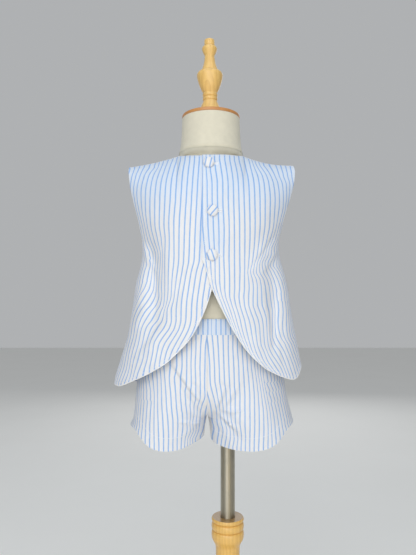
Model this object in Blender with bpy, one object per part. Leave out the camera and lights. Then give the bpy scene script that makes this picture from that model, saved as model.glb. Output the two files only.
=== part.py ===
"""Striped cotton shorts set for a toddler, a back-buttoned top and shorts, on a limbless dress form."""
import math

import bmesh
import bpy
import numpy as np
from mathutils import Vector

# Lengths in the tables are millimetres; objects are made in metres. +Z is up, the set's back faces -Y.
MM = 0.001
FIGURE_X = -26.0        # centre plane of the form, left of the pole's axis
WALL = 1.2              # cloth thickness
SEAM = 0.15             # half of the gap at a seam
LAP = 12.5              # each back panel's reach past the centre
LAP_LIFT = 1.9          # how far the upper panel stands off the under one

# The top's body rings: height, half width left, half width right, back depth, front depth.
TOP_RINGS = [
    (440, 158.0, 152.0, 89.0, 94.0),
    (465, 148.0, 143.0, 88.5, 93.0),
    (480, 145.6, 140.5, 88.0, 92.0),
    (494, 141.5, 138.0, 88.0, 91.5),
    (514, 135.2, 134.6, 87.5, 91.0),
    (547, 125.5, 128.0, 86.5, 89.5),
    (577, 120.5, 123.0, 85.5, 88.5),
    (600, 117.6, 119.2, 85.0, 88.0),
    (618, 114.7, 116.0, 84.5, 87.5),
    (642, 108.5, 110.0, 84.0, 87.0),
    (658, 105.6, 105.6, 83.5, 86.0),
    (680, 104.7, 103.4, 83.2, 84.0),
    (705, 111.0, 110.0, 82.4, 81.0),
    (737, 121.5, 121.5, 78.6, 76.0),
]
TOP_POWER = 2.25        # squareness of the body rings
UNDERARM_Z = 680.0
CHEST_Z = 737.0
ARMHOLE_SHARE = 0.80    # share of the quarter ring left at the chest row
GRID_X = 125.0          # column spacing scale: half shoulder width
NECK_X = 50.0
NECK_POINT_Z = 816.6
SHOULDER_TIP_Z = 799.3
SHOULDER_SAG = 0.45     # how soon the shoulder seam drops beside the neck
BACK_NECK = (-47.6, 807.2)
FRONT_NECK = (54.5, 789.0)

# Hem of the upper (right) back panel, from the lap edge to the side corner: x, z.
RIGHT_HEM = [
    (-12.5, 652), (-8.8, 643.6), (-3.4, 625.8), (0.9, 611.7), (9.8, 592.4), (20.5, 571.2), (29.2, 555.2),
    (39.5, 538.5), (48, 526.4), (63.8, 509.5), (78, 497.5), (90.6, 490.6), (103.9, 484.6), (119.6, 480.2),
    (128, 481), (138, 492),
]
# Hem of the under (left) back panel, x counted away from the centre.
LEFT_HEM = [
    (-12.5, 667), (-9, 640), (-1, 611), (8.5, 582), (20.3, 556), (30.5, 540), (47.3, 521.5), (63.1, 506.5),
    (76.9, 497.8), (101.2, 484.4), (115.3, 477.6), (126.6, 472), (137, 468.5), (147, 469),
]
# The front hem on either side of the centre: share of the half width, drop below the side corner.
FRONT_HEM = [(0.0, -6.0), (0.35, -9.0), (0.7, -10.0), (0.9, -5.0), (1.0, 0.0)]
SIDE_CORNER_Z = {-1: 469.0, 1: 492.0}

# Soft folds in the back panels: side, points (x, z) along the fold's line, half width, height.
FOLDS = [
    (-1, [(97, 700), (88, 672), (83, 645), (82, 600), (84, 560)], 13.0, -8.0),
    (-1, [(110, 660), (104, 620), (106, 580), (112, 530)], 14.0, 5.5),
    (-1, [(40, 590), (62, 560), (84, 525), (100, 500)], 16.0, 5.0),
    (-1, [(60, 600), (66, 540), (62, 500)], 14.0, -2.5),
    (1, [(94, 688), (76, 660), (55, 636)], 9.0, 4.5),
    (1, [(84, 652), (88, 610), (89, 565), (86, 530)], 12.0, -8.0),
    (1, [(104, 640), (108, 590), (114, 540), (118, 500)], 14.0, 3.5),
    (1, [(40, 630), (52, 590), (62, 540), (66, 510)], 15.0, 2.5),
]
FRONT_FOLDS = [
    (-1, [(96, 690), (84, 640), (88, 570), (96, 500)], 13.0, -4.5),
    (-1, [(46, 640), (54, 560), (60, 480)], 15.0, 3.5),
    (1, [(98, 690), (86, 650), (84, 580), (92, 500)], 13.0, -4.0),
    (1, [(30, 620), (44, 560), (50, 480)], 16.0, 3.5),
]

BACK_COLUMNS = [-0.1, -0.06, -0.02, 0.02, 0.06, 0.1, 0.16, 0.22, 0.28, 0.33, 0.365, 0.39, 0.4, 0.46, 0.53,
                0.6, 0.67, 0.74, 0.81, 0.87, 0.93, 0.97, 1.0]
FRONT_COLUMNS = [0.0, 0.08, 0.16, 0.24, 0.31, 0.36, 0.39, 0.4, 0.48, 0.57, 0.66, 0.75, 0.84, 0.92, 1.0]
TOP_ROWS = (10, 5, 8)   # rows below the underarm, beside the armhole, over the shoulder

# The shorts' rings: height, half width left, half width right, back depth, front depth.
SHORTS_RINGS = [
    (376, 127.5, 131.0, 74.0, 73.0),
    (392, 125.0, 128.5, 74.5, 73.5),
    (407, 122.0, 127.5, 75.5, 74.5),
    (414, 120.0, 126.0, 77.0, 75.0),
    (422, 118.5, 125.0, 78.0, 75.5),
    (448, 116.8, 119.0, 79.5, 77.0),
    (472, 114.5, 114.5, 80.0, 78.0),
    (492, 110.0, 110.0, 79.0, 78.0),
    (512, 104.0, 104.0, 77.0, 77.0),
    (532, 96.5, 96.5, 74.0, 74.5),
    (546, 91.6, 91.6, 71.7, 72.5),
]
SHORTS_POWER = 2.15
WAIST_Z = (546.0, 568.0)
WAIST_HALF = (91.6, 71.7, 72.5)
SEAT_TURN_Z = 467.0     # where the seat seam starts to turn under
CROTCH_Z = 419.0
LEG_TURN_Z = (500.0, 392.0)  # where the outer part of each leg turns from hip ring to leg ring
CROTCH_DRIFT = -5.0     # sideways lean of the centre seam at the crotch
INSEAM_X = [(385, 9.0), (404, 6.0), (419, 1.3)]
# Leg hems from the inseam to the side seam: distance from the centre, height.
LEG_HEM = {
    -1: [(10, 402), (14, 394), (19, 388.7), (30.5, 384.7), (46, 381.8), (62, 381.2), (74, 382.2), (88, 387),
         (101, 398), (111, 407), (121, 408.5)],
    1: [(3, 396), (8, 387.5), (16, 384), (33, 382), (57, 381.4), (76.5, 384), (91, 389.5), (101, 398.5),
        (112, 409), (127, 414)],
}
SHORTS_COLUMNS = [0, 0.04, 0.1, 0.18, 0.27, 0.37, 0.47, 0.57, 0.67, 0.77, 0.86, 0.94, 1.0]
SHORTS_ROWS = (5, 7, 3)
# Creases in the shorts' back: side, points (x, z), half width, height.
SHORTS_FOLDS = [
    (-1, [(58, 500), (44, 480), (30, 458), (14, 438)], 7.0, -2.5),
    (-1, [(60, 440), (40, 432), (20, 424)], 7.0, 2.0),
    (1, [(70, 400), (50, 425), (26, 440)], 8.0, 2.0),
    (1, [(96, 470), (100, 440), (104, 405)], 12.0, -2.0),
]

# The form's rings: height, half width, half depth, squareness.
FORM_RINGS = [
    (440, 70, 45, 2.2), (443.5, 79, 53, 2.2), (449, 85, 58.5, 2.2), (456, 88.5, 62.5, 2.2), (468, 91.5, 66, 2.2),
    (482, 93.5, 68.5, 2.2), (505, 93.5, 70, 2.2), (530, 91.5, 70, 2.15), (546, 90.3, 70.2, 2.15),
    (568, 90.3, 70.2, 2.15), (590, 89.5, 69.5, 2.15), (620, 90, 70.5, 2.2), (655, 93, 72.5, 2.2),
    (690, 97, 73.5, 2.2), (715, 100, 72, 2.2), (740, 103.5, 69, 2.2), (760, 105.5, 64, 2.1),
    (775, 105.5, 58, 1.95), (786, 103, 52, 1.75), (794, 97, 46, 1.6), (800, 88, 41.6, 1.5),
    (804.5, 75, 40.6, 1.42), (808, 63.5, 41, 1.38), (812, 51.6, 42.8, 1.5), (816, 48.6, 45.5, 1.9),
    (822, 48.3, 48.3, 2.0), (835, 46.3, 46.3, 2.0), (855, 45.0, 45.0, 2.0), (873.5, 44.3, 44.3, 2.0),
]
FORM_SEGMENTS = 40
NECK_CAP_Z = (873.8, 878.5)
NECK_CAP_RADIUS = 43.0
FINIAL = [
    (17.6, 878.8), (17.6, 884), (14.6, 897), (12, 902), (10.6, 905.6), (11.6, 909), (11.6, 913.5), (11.2, 915.7),
    (15.5, 923.5), (19, 933), (20.1, 941.3), (18.6, 947), (14, 953), (12.7, 954.5), (8.2, 964), (7.7, 971.5),
    (11.8, 981.6), (7.4, 990), (7.9, 992), (7.9, 999), (6.6, 1001),
]

POLE_RADIUS = 11.0
POLE_Z = (60.0, 439.7)
BORE_RADIUS = 11.3
POST = [
    (23.4, 22.3), (24.6, 30), (24.6, 37), (20.5, 44), (19.5, 52), (22.8, 60), (22.8, 66), (19.6, 74),
    (18.4, 100), (18.2, 140), (18.2, 185), (18.4, 205), (19.2, 217), (21.8, 223.5), (24.4, 229.5), (25, 235.5),
    (24.2, 240), (23.2, 241.8), (24.6, 244.5), (24.8, 248.5), (23.9, 252), (23.3, 253.4), (24.6, 255.3),
    (24.8, 258), (23.6, 260),
]
BASE = [(128, 0), (130, 2), (130, 14), (128.5, 18.5), (124, 21.3), (118, 22)]

# Buttons on the upper back panel: name, x, z.
BUTTONS = [("button_upper", -3.3, 793.6), ("button_middle", 1.9, 719.0), ("button_lower", 0.9, 657.0)]
BUTTON_PROFILE = [(5.6, 0.0), (7.1, 0.5), (7.5, 1.5), (7.0, 2.8), (5.6, 4.0), (3.4, 4.8), (0.0, 5.1)]

STRIPED = ("striped_cotton", (0.86, 0.89, 0.94), 0.9, 0.0)
CANVAS = ("canvas", (0.84, 0.82, 0.74), 0.9, 0.0)
HONEY_WOOD = ("honey_wood", (0.80, 0.60, 0.33), 0.45, 0.0)
CAP_WOOD = ("red_brown_wood", (0.70, 0.42, 0.18), 0.5, 0.0)
STEEL = ("polished_steel", (0.70, 0.70, 0.68), 0.18, 1.0)


def slopes(xs, ys):
    """Monotone cubic slopes at each point of a table."""
    step = np.diff(xs)
    rise = np.diff(ys) / step
    out = np.zeros(len(xs))
    out[0] = rise[0]
    out[-1] = rise[-1]
    for i in range(1, len(xs) - 1):
        if rise[i - 1] * rise[i] > 0:
            out[i] = 2 * rise[i - 1] * rise[i] / (rise[i - 1] + rise[i])
    return out


def reader(points):
    """A function that reads a smooth curve through (x, y) points, held level past the ends."""
    xs = np.array([p[0] for p in points], float)
    ys = np.array([p[1] for p in points], float)
    tangent = slopes(xs, ys)

    def read(at):
        at = min(max(at, xs[0]), xs[-1])
        i = min(int(np.searchsorted(xs, at, side="right")) - 1, len(xs) - 2)
        width = xs[i + 1] - xs[i]
        t = (at - xs[i]) / width
        a = (1 + 2 * t) * (1 - t) ** 2
        b = t * (1 - t) ** 2
        c = t * t * (3 - 2 * t)
        d = t * t * (t - 1)
        return a * ys[i] + b * width * tangent[i] + c * ys[i + 1] + d * width * tangent[i + 1]

    return read


def ease(value):
    """Smooth step from 0 to 1."""
    value = min(max(value, 0.0), 1.0)
    return value * value * (3 - 2 * value)


def ring_readers(rings):
    """Readers for half width left, half width right, back depth and front depth by height."""
    return [reader([(row[0], row[column]) for row in rings]) for column in range(1, 5)]


TOP_READ = ring_readers(TOP_RINGS)
SHORTS_READ = ring_readers(SHORTS_RINGS)
INSEAM_READ = reader(INSEAM_X)
QUARTER = np.linspace(0, math.pi / 2, 121)


def quarter_ring(width, depth, power):
    """Lengths and points of a superellipse quarter from (0, depth) to (width, 0)."""
    x = width * np.sin(QUARTER) ** (2 / power)
    y = depth * np.abs(np.cos(QUARTER)) ** (2 / power)
    length = np.concatenate([[0], np.cumsum(np.hypot(np.diff(x), np.diff(y)))])
    return length, x, y


def top_ring(z, side, back):
    """The top's quarter ring at one height, with its length out to the armhole or side seam."""
    width = TOP_READ[0 if side < 0 else 1](z)
    depth = TOP_READ[2 if back else 3](z)
    length, x, y = quarter_ring(width, depth, TOP_POWER)
    share = 1.0
    if z > UNDERARM_Z:
        rise = min((z - UNDERARM_Z) / (CHEST_Z - UNDERARM_Z), 1.0)
        share = 1 - (1 - ARMHOLE_SHARE) * math.sqrt(1 - (1 - rise) ** 2)
    return length, x, y, length[-1] * share


def across(column, edge):
    """Length from the centre of a column: straight columns near the centre, the edge at column 1."""
    size = abs(column)
    return math.copysign(GRID_X * size + (edge - GRID_X) * size ** 3, column)


def fold_height(folds, side, x, z):
    """Sum of the folds' heights at a point of one half."""
    total = 0.0
    for fold_side, line, half, height in folds:
        if fold_side != side:
            continue
        best = 1e9
        share = 0.0
        lengths = [math.dist(line[i], line[i + 1]) for i in range(len(line) - 1)]
        run = 0.0
        for i, size in enumerate(lengths):
            ax, az = line[i]
            bx, bz = line[i + 1]
            t = ((x - ax) * (bx - ax) + (z - az) * (bz - az)) / size ** 2
            t = min(max(t, 0.0), 1.0)
            gap = math.hypot(x - ax - t * (bx - ax), z - az - t * (bz - az))
            if gap < best:
                best = gap
                share = (run + t * size) / sum(lengths)
            run += size
        fade = math.sin(math.pi * min(max(share, 0.08), 0.92)) ** 0.6
        total += height * fade * math.exp(-(best / half) ** 2)
    return total


def shoulder_edge(column, back):
    """Point of the neckline or the shoulder seam on one column."""
    x = GRID_X * abs(column)
    neck_y, neck_z = BACK_NECK if back else FRONT_NECK
    if x <= NECK_X:
        turn = math.asin(min(x / NECK_X, 1.0))
        y = abs(neck_y) * math.cos(turn) ** (1.0 if back else 0.88)
        z = neck_z + (NECK_POINT_Z - neck_z) * (1 - math.cos(turn)) ** (0.8 if back else 0.74)
        return Vector((x, y, z))
    down = (x - NECK_X) / (GRID_X - NECK_X)
    down *= 1 + SHOULDER_SAG * (1 - down)
    return Vector((x, 0.0, NECK_POINT_Z + (SHOULDER_TIP_Z - NECK_POINT_Z) * down))


def top_point(column, z, lift, side, back):
    """A point of the top's middle surface; lift runs 0 to 1 from the chest row to the shoulder."""
    length, xs, ys, edge = top_ring(min(z, CHEST_Z), side, back)
    reach = abs(across(column, edge))
    x = float(np.interp(reach, length, xs))
    y = float(np.interp(reach, length, ys))
    if lift > 0:
        end = shoulder_edge(column, back)
        start = Vector((x, y, CHEST_Z))
        near_neck = 1 - ease((GRID_X * abs(column)) / NECK_X)
        rise = 30.0 if back else 26.0
        handle = Vector((0.7 * (end.x - x), 0, rise))
        out = 30.0 * (1 - near_neck) + 10.0 * near_neck
        drop = 4.0 * (1 - near_neck) + (12.0 if back else 16.0) * near_neck
        first = start + handle
        second = end + Vector((0, out, -drop))
        t = lift
        point = start * (1 - t) ** 3 + first * 3 * t * (1 - t) ** 2 + second * 3 * t * t * (1 - t) + end * t ** 3
    else:
        point = Vector((x, y, z))
        fade = ease((1 - abs(column)) / 0.12)
        folds = FOLDS if back else FRONT_FOLDS
        point.y += fold_height(folds, side, x, z) * fade
    point.x = math.copysign(point.x, column) * side
    point.y += SEAM
    if back:
        point.y = -point.y
    return point


def hem_by_column(table, side, back):
    """A reader of hem height by column from a table of (x, z)."""
    grid = np.linspace(0, 1, 201)
    points = []
    for x, z in table:
        length, xs, _, edge = top_ring(z, side, back)
        reach = float(np.interp(abs(x), xs, length))
        columns = GRID_X * grid + (edge - GRID_X) * grid ** 3
        points.append((math.copysign(float(np.interp(reach, columns, grid)), x), z))
    points.sort()
    kept = [points[0]]
    for point in points[1:]:
        if point[0] - kept[-1][0] > 1e-4:
            kept.append(point)
    kept[-1] = (1.0, kept[-1][1])
    return reader(kept)


def top_grid(columns, side, back, hem):
    """Rows of middle-surface points from the hem to the neckline and shoulder."""
    below, beside, over = TOP_ROWS
    rows = []
    for step in range(below + beside + over + 1):
        row = []
        for column in columns:
            bottom = hem(column)
            if step <= below:
                z, lift = bottom + (UNDERARM_Z - bottom) * step / below, 0.0
            elif step <= below + beside:
                rise = 1 - math.cos(math.pi / 2 * (step - below) / beside)
                z, lift = UNDERARM_Z + (CHEST_Z - UNDERARM_Z) * rise, 0.0
            else:
                z, lift = CHEST_Z, (step - below - beside) / over
            row.append(top_point(column, z, lift, side, back))
        rows.append(row)
    return rows


def lap_lift(rows, side):
    """Stand the upper back panel off the under one near the centre."""
    for row in rows:
        for point in row:
            reach = point.x * side
            amount = LAP_LIFT * (1 - ease((reach - LAP - 3) / 26))
            outward = Vector((0, -1, 0.45 * ease((point.z - CHEST_Z) / 50))).normalized()
            point += outward * amount
    return rows


def shell(name, rows, look, parent, outward, centre_side=0):
    """A closed sheet of cloth on a grid of middle-surface points, given its wall along the normals."""
    points = np.array([[list(point) for point in row] for row in rows])
    along = np.gradient(points, axis=1)
    up = np.gradient(points, axis=0)
    normal = np.cross(along, up)
    normal /= np.maximum(np.linalg.norm(normal, axis=2, keepdims=True), 1e-9)
    middle = normal[len(rows) // 3, len(rows[0]) // 2]
    if np.dot(middle, outward) < 0:
        normal = -normal
    layers = [points + normal * WALL / 2, points - normal * WALL / 2]
    for layer in layers:
        face = math.copysign(1, outward[1])
        layer[..., 1] = face * np.maximum(layer[..., 1] * face, SEAM)
        if centre_side:
            lean = points[:, :1, 0] - centre_side * seam_standoff(points[:, :1, 2])
            reach = (layer[..., 0] - lean) * centre_side
            layer[..., 0] = lean + centre_side * np.maximum(reach, SEAM)
    count_y, count_x = points.shape[:2]
    verts = np.concatenate([layer.reshape(-1, 3) for layer in layers])
    size = count_x * count_y
    faces = []
    for j in range(count_y - 1):
        for i in range(count_x - 1):
            a = j * count_x + i
            quad = (a, a + 1, a + count_x + 1, a + count_x)
            faces.append(quad)
            faces.append(tuple(size + v for v in reversed(quad)))
    rim = [i for i in range(count_x)]
    rim += [j * count_x + count_x - 1 for j in range(1, count_y)]
    rim += [(count_y - 1) * count_x + i for i in range(count_x - 2, -1, -1)]
    rim += [j * count_x for j in range(count_y - 2, 0, -1)]
    for k, a in enumerate(rim):
        b = rim[(k + 1) % len(rim)]
        faces.append((b, a, size + a, size + b))
    return solid(name, verts, faces, look, parent)


def solid(name, verts, faces, look, parent):
    """A mesh object with outward faces, given in millimetres."""
    mesh = bpy.data.meshes.new(name)
    mesh.from_pydata([tuple(float(c) * MM for c in v) for v in verts], [], faces)
    work = bmesh.new()
    work.from_mesh(mesh)
    bmesh.ops.recalc_face_normals(work, faces=work.faces)
    work.to_mesh(mesh)
    work.free()
    obj = bpy.data.objects.new(name, mesh)
    bpy.context.scene.collection.objects.link(obj)
    obj.parent = parent
    mesh.materials.append(material(*look))
    return obj


def material(name, colour, roughness, metallic):
    """The part's own material, made once."""
    found = bpy.data.materials.get(name)
    if found:
        return found
    made = bpy.data.materials.new(name)
    made.use_nodes = True
    shader = made.node_tree.nodes["Principled BSDF"]
    shader.inputs["Base Color"].default_value = (*colour, 1.0)
    shader.inputs["Roughness"].default_value = roughness
    shader.inputs["Metallic"].default_value = metallic
    return made


def lathe(name, profile, look, parent, segments, bore=None):
    """A turned solid on the Z axis from (radius, z) points, with an optional blind bore (radius, bottom)."""
    outline = [(radius, z) for radius, z in profile]
    if bore:
        outline += [(bore[0], profile[-1][1]), (bore[0], bore[1])]
    verts = []
    rings = []
    for radius, z in outline:
        if radius < 1e-6:
            rings.append([len(verts)])
            verts.append((0, 0, z))
            continue
        ring = []
        for i in range(segments):
            angle = 2 * math.pi * i / segments
            ring.append(len(verts))
            verts.append((radius * math.cos(angle), radius * math.sin(angle), z))
        rings.append(ring)
    faces = []
    for low, high in zip(rings, rings[1:]):
        for i in range(segments):
            k = (i + 1) % segments
            if len(high) == 1:
                faces.append((low[i], low[k], high[0]))
            else:
                faces.append((low[i], low[k], high[k], high[i]))
    faces.append(tuple(reversed(rings[0])))
    if len(rings[-1]) > 1:
        faces.append(tuple(rings[-1]))
    return solid(name, verts, faces, look, parent)


def form_body(parent):
    """The limbless form from its flat underside to the flat top of the neck."""
    verts = []
    for z, width, depth, power in FORM_RINGS:
        for i in range(FORM_SEGMENTS):
            angle = 2 * math.pi * i / FORM_SEGMENTS
            c, s = math.cos(angle), math.sin(angle)
            x = width * math.copysign(abs(c) ** (2 / power), c)
            y = depth * math.copysign(abs(s) ** (2 / power), s)
            verts.append((x, y, z))
    faces = []
    n = FORM_SEGMENTS
    for j in range(len(FORM_RINGS) - 1):
        for i in range(n):
            k = (i + 1) % n
            faces.append((j * n + i, j * n + k, (j + 1) * n + k, (j + 1) * n + i))
    faces.append(tuple(reversed(range(n))))
    faces.append(tuple(range((len(FORM_RINGS) - 1) * n, len(FORM_RINGS) * n)))
    return solid("form_body", verts, faces, CANVAS, parent)


def seat_share(z):
    """How far the centre seam has turned from the seat to the inseam at one height."""
    turn = min(max((SEAT_TURN_Z - z) / (SEAT_TURN_Z - CROTCH_Z), 0.0), 1.0)
    return 1 - math.sqrt(1 - turn * turn)


def seam_standoff(z):
    """Distance of the shorts' innermost column from the centre seam or inseam plane by height."""
    turned = np.vectorize(seat_share)(z)
    inner = np.vectorize(INSEAM_READ)(z)
    return np.maximum(inner * turned, SEAM + (WALL / 2 + 0.15) * turned)


def shorts_point(column, z, side, back):
    """A point of the shorts' middle surface; column runs 0 to 1 from the centre seam to the side seam."""
    width = SHORTS_READ[0 if side < 0 else 1](z)
    depth = SHORTS_READ[2 if back else 3](z)
    turned = seat_share(z)
    turned += (ease((LEG_TURN_Z[0] - z) / (LEG_TURN_Z[0] - LEG_TURN_Z[1])) - turned) * ease(column / 0.45)
    length, xs, ys = quarter_ring(width, depth, SHORTS_POWER)
    quarter = (float(np.interp(column * length[-1], length, xs)), float(np.interp(column * length[-1], length, ys)))
    inner = INSEAM_READ(z)
    middle = (inner + width) / 2
    length, xs, ys = quarter_ring((width - inner) / 2, depth, SHORTS_POWER)
    reach = abs(2 * column - 1) * length[-1]
    leg_x = middle + math.copysign(float(np.interp(reach, length, xs)), 2 * column - 1)
    leg_y = float(np.interp(reach, length, ys))
    x = quarter[0] * (1 - turned) + leg_x * turned
    y = quarter[1] * (1 - turned) + leg_y * turned
    x = max(x, SEAM + (WALL / 2 + 0.15) * seat_share(z))
    if back:
        y += fold_height(SHORTS_FOLDS, side, x, z) * ease((1 - column) / 0.12) * ease(column / 0.08)
    drift = CROTCH_DRIFT * ease((WAIST_Z[0] - z) / (WAIST_Z[0] - CROTCH_Z)) * (1 - column)
    return Vector((x * side + drift, (-1 if back else 1) * (y + SEAM), z))


def leg_hem(side):
    """A reader of leg hem height by column from a table of (x, z)."""
    grid = np.linspace(0, 1, 81)
    points = []
    for x, z in LEG_HEM[side]:
        reach = [abs(shorts_point(column, z, side, False).x) for column in grid]
        points.append((float(np.interp(x, reach, grid)), z))
    points[0] = (0.0, points[0][1])
    points[-1] = (1.0, points[-1][1])
    return reader(points)


def shorts_grid(side, back):
    """Rows of middle-surface points from the leg hem to the waist seam."""
    seat, turn, leg = SHORTS_ROWS
    hem = leg_hem(side)
    rows = []
    for step in range(leg):
        rows.append([shorts_point(c, hem(c) + (CROTCH_Z - hem(c)) * step / leg, side, back) for c in SHORTS_COLUMNS])
    for step in range(turn):
        rise = math.cos(math.pi / 2 * step / turn)
        z = SEAT_TURN_Z - (SEAT_TURN_Z - CROTCH_Z) * rise
        rows.append([shorts_point(c, z, side, back) for c in SHORTS_COLUMNS])
    for step in range(seat + 1):
        z = SEAT_TURN_Z + (WAIST_Z[0] - 2 * SEAM - SEAT_TURN_Z) * step / seat
        rows.append([shorts_point(c, z, side, back) for c in SHORTS_COLUMNS])
    return rows


def waistband(parent):
    """The flat band round the waist."""
    width, back, front = WAIST_HALF
    n = 60
    verts = []
    for offset, z in ((0.8, WAIST_Z[0]), (0.8, WAIST_Z[1]), (-0.5, WAIST_Z[1]), (-0.5, WAIST_Z[0])):
        for i in range(n):
            angle = 2 * math.pi * i / n
            c, s = math.cos(angle), math.sin(angle)
            depth = (front if s > 0 else back) + offset
            x = (width + offset) * math.copysign(abs(c) ** (2 / SHORTS_POWER), c)
            verts.append((x, depth * math.copysign(abs(s) ** (2 / SHORTS_POWER), s), z))
    faces = []
    for j in range(4):
        for i in range(n):
            k = (i + 1) % n
            m = (j + 1) % 4
            faces.append((j * n + i, j * n + k, m * n + k, m * n + i))
    return solid("shorts_waistband", verts, faces, STRIPED, parent)


def buttons(parent):
    """The three covered buttons on the upper back panel's outer face."""
    for name, x, z in BUTTONS:
        column = x / GRID_X
        if z <= CHEST_Z:
            sample = [top_point(column, z + d, 0.0, 1, True) for d in (-2, 0, 2)]
        else:
            lifts = np.linspace(0.02, 0.98, 49)
            tries = [top_point(column, CHEST_Z, t, 1, True) for t in lifts]
            at = min(range(1, 48), key=lambda i: abs(tries[i].z - z))
            sample = tries[at - 1:at + 2]
        sample = lap_lift([sample], 1)[0]
        up = (sample[2] - sample[0]).normalized()
        normal = Vector((0, -up.z, up.y)).normalized()
        button = lathe(name, BUTTON_PROFILE, STRIPED, parent, 20)
        button.rotation_euler = normal.to_track_quat("Z", "Y").to_euler()
        button.location = (sample[1] + normal * (WALL / 2 + 0.35)) * MM
        button.location.x = x * MM


def build():
    """Make every piece of the set and its stand."""
    for obj in list(bpy.data.objects):
        bpy.data.objects.remove(obj, do_unlink=True)
    figure = bpy.data.objects.new("figure", None)
    bpy.context.scene.collection.objects.link(figure)
    figure.location.x = FIGURE_X * MM

    lathe("stand_base", BASE, HONEY_WOOD, None, 56)
    lathe("stand_post", POST, HONEY_WOOD, None, 28, bore=(BORE_RADIUS, 59.7))
    lathe("pole", [(POLE_RADIUS, POLE_Z[0]), (POLE_RADIUS, POLE_Z[1])], STEEL, None, 32)
    form_body(figure)
    cap = [(NECK_CAP_RADIUS - 0.6, NECK_CAP_Z[0]), (NECK_CAP_RADIUS, NECK_CAP_Z[0] + 0.7),
           (NECK_CAP_RADIUS, NECK_CAP_Z[1] - 0.7), (NECK_CAP_RADIUS - 0.6, NECK_CAP_Z[1])]
    lathe("neck_cap", cap, CAP_WOOD, figure, 40)
    lathe("finial", FINIAL, HONEY_WOOD, figure, 24)

    right_hem = hem_by_column(RIGHT_HEM, 1, True)
    left_hem = hem_by_column(LEFT_HEM, -1, True)
    back = (0, -1, 0.2)
    under = top_grid(BACK_COLUMNS, -1, True, left_hem)
    shell("top_back_left", under, STRIPED, figure, back)
    upper = lap_lift(top_grid(BACK_COLUMNS, 1, True, right_hem), 1)
    shell("top_back_right", upper, STRIPED, figure, back)

    rows = None
    for side in (-1, 1):
        drops = reader(FRONT_HEM)
        part = top_grid(FRONT_COLUMNS, side, False, lambda c, s=side: front_hem(drops, c, s))
        if side < 0:
            rows = [list(reversed(row)) for row in part]
        else:
            rows = [left[:-1] + right for left, right in zip(rows, part)]
    shell("top_front", rows, STRIPED, figure, (0, 1, 0.2))

    waistband(figure)
    for side, side_name in ((-1, "left"), (1, "right")):
        for is_back, face_name in ((True, "back"), (False, "front")):
            grid = shorts_grid(side, is_back)
            shell(f"shorts_{face_name}_{side_name}", grid, STRIPED, figure, (0, -1 if is_back else 1, 0), side)
    buttons(figure)


def front_hem(drops, column, side):
    """Height of the front hem, meeting both side corners and level across the centre."""
    middle = (SIDE_CORNER_Z[-1] + SIDE_CORNER_Z[1]) / 2
    share = ease(abs(column) / 0.9)
    return middle + (SIDE_CORNER_Z[side] - middle) * share + drops(abs(column))


build()
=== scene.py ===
"""Cloth, stitching, wood and steel for a toddler's striped shorts set on a limbless dress form."""
import math

import bmesh
import bpy
import numpy as np
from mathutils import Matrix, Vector, noise


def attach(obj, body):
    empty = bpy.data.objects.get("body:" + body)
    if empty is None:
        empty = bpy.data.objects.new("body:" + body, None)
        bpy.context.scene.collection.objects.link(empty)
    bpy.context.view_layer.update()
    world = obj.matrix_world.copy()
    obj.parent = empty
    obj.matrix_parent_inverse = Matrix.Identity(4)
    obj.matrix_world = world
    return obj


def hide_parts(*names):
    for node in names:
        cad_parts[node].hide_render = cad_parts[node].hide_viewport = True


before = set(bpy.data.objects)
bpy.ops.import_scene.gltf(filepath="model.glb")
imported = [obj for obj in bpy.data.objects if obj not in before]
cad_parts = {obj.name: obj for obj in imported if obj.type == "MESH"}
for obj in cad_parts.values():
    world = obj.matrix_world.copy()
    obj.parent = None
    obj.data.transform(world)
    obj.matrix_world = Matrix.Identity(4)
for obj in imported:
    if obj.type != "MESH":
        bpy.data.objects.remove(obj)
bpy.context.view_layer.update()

bl_info = {
    "name": "Striped shorts set",
    "version": (1, 0, 0),
    "blender": (4, 5, 0),
    "location": "View3D > Sidebar > Shorts Set",
    "description": "Builds the cloth, stitching and stand of a child's striped shorts set",
    "category": "Object",
}

BODY = "root"

# Tables and cloth lengths are millimetres; MM turns them into metres. The set's back faces -Y.
MM = 0.001
CM = 10                 # millimetres in one unit of the cloth's UV maps
FIGURE_X = -26.0        # the figure's middle, left of the pole at the origin
SEAM = 0.15             # half the gap between two panels that are sewn together
LAP = 12.5              # how far the back panels reach past the centre
LAP_LIFT = 1.9          # how far the upper back panel stands off the under one
LAP_BLEND = (3, 26)     # where that lift starts to fade beside the lap, and over what length
CLOTH_FINE = 0.95       # thickness of the finished cloth sheets
INSEAM_GAP = 0.75       # least extra distance of a leg's innermost column from the centre plane
WRINKLE_SIZE = (34, 46)     # length of the small uneven wrinkles across and up the cloth
FOLD_REACH = 3          # a fold ends at this many of its half widths
CLOTH_CREASE = math.radians(50)     # edges that turn more than this are shaded sharp
TURNED_CREASE = math.radians(32)

# Lengths that set how many rows and columns a sheet has. Rows: the top below the underarm, beside the armhole
# and over the shoulder; the shorts' seat, turn and leg. Columns: half the top, its lap, half the shorts.
TOP_ROWS = (170, 60, 100)
SHORTS_ROWS = (80, 64, 38)
TOP_ACROSS = 150
LAP_ACROSS = 25
SHORTS_ACROSS = 130

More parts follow.
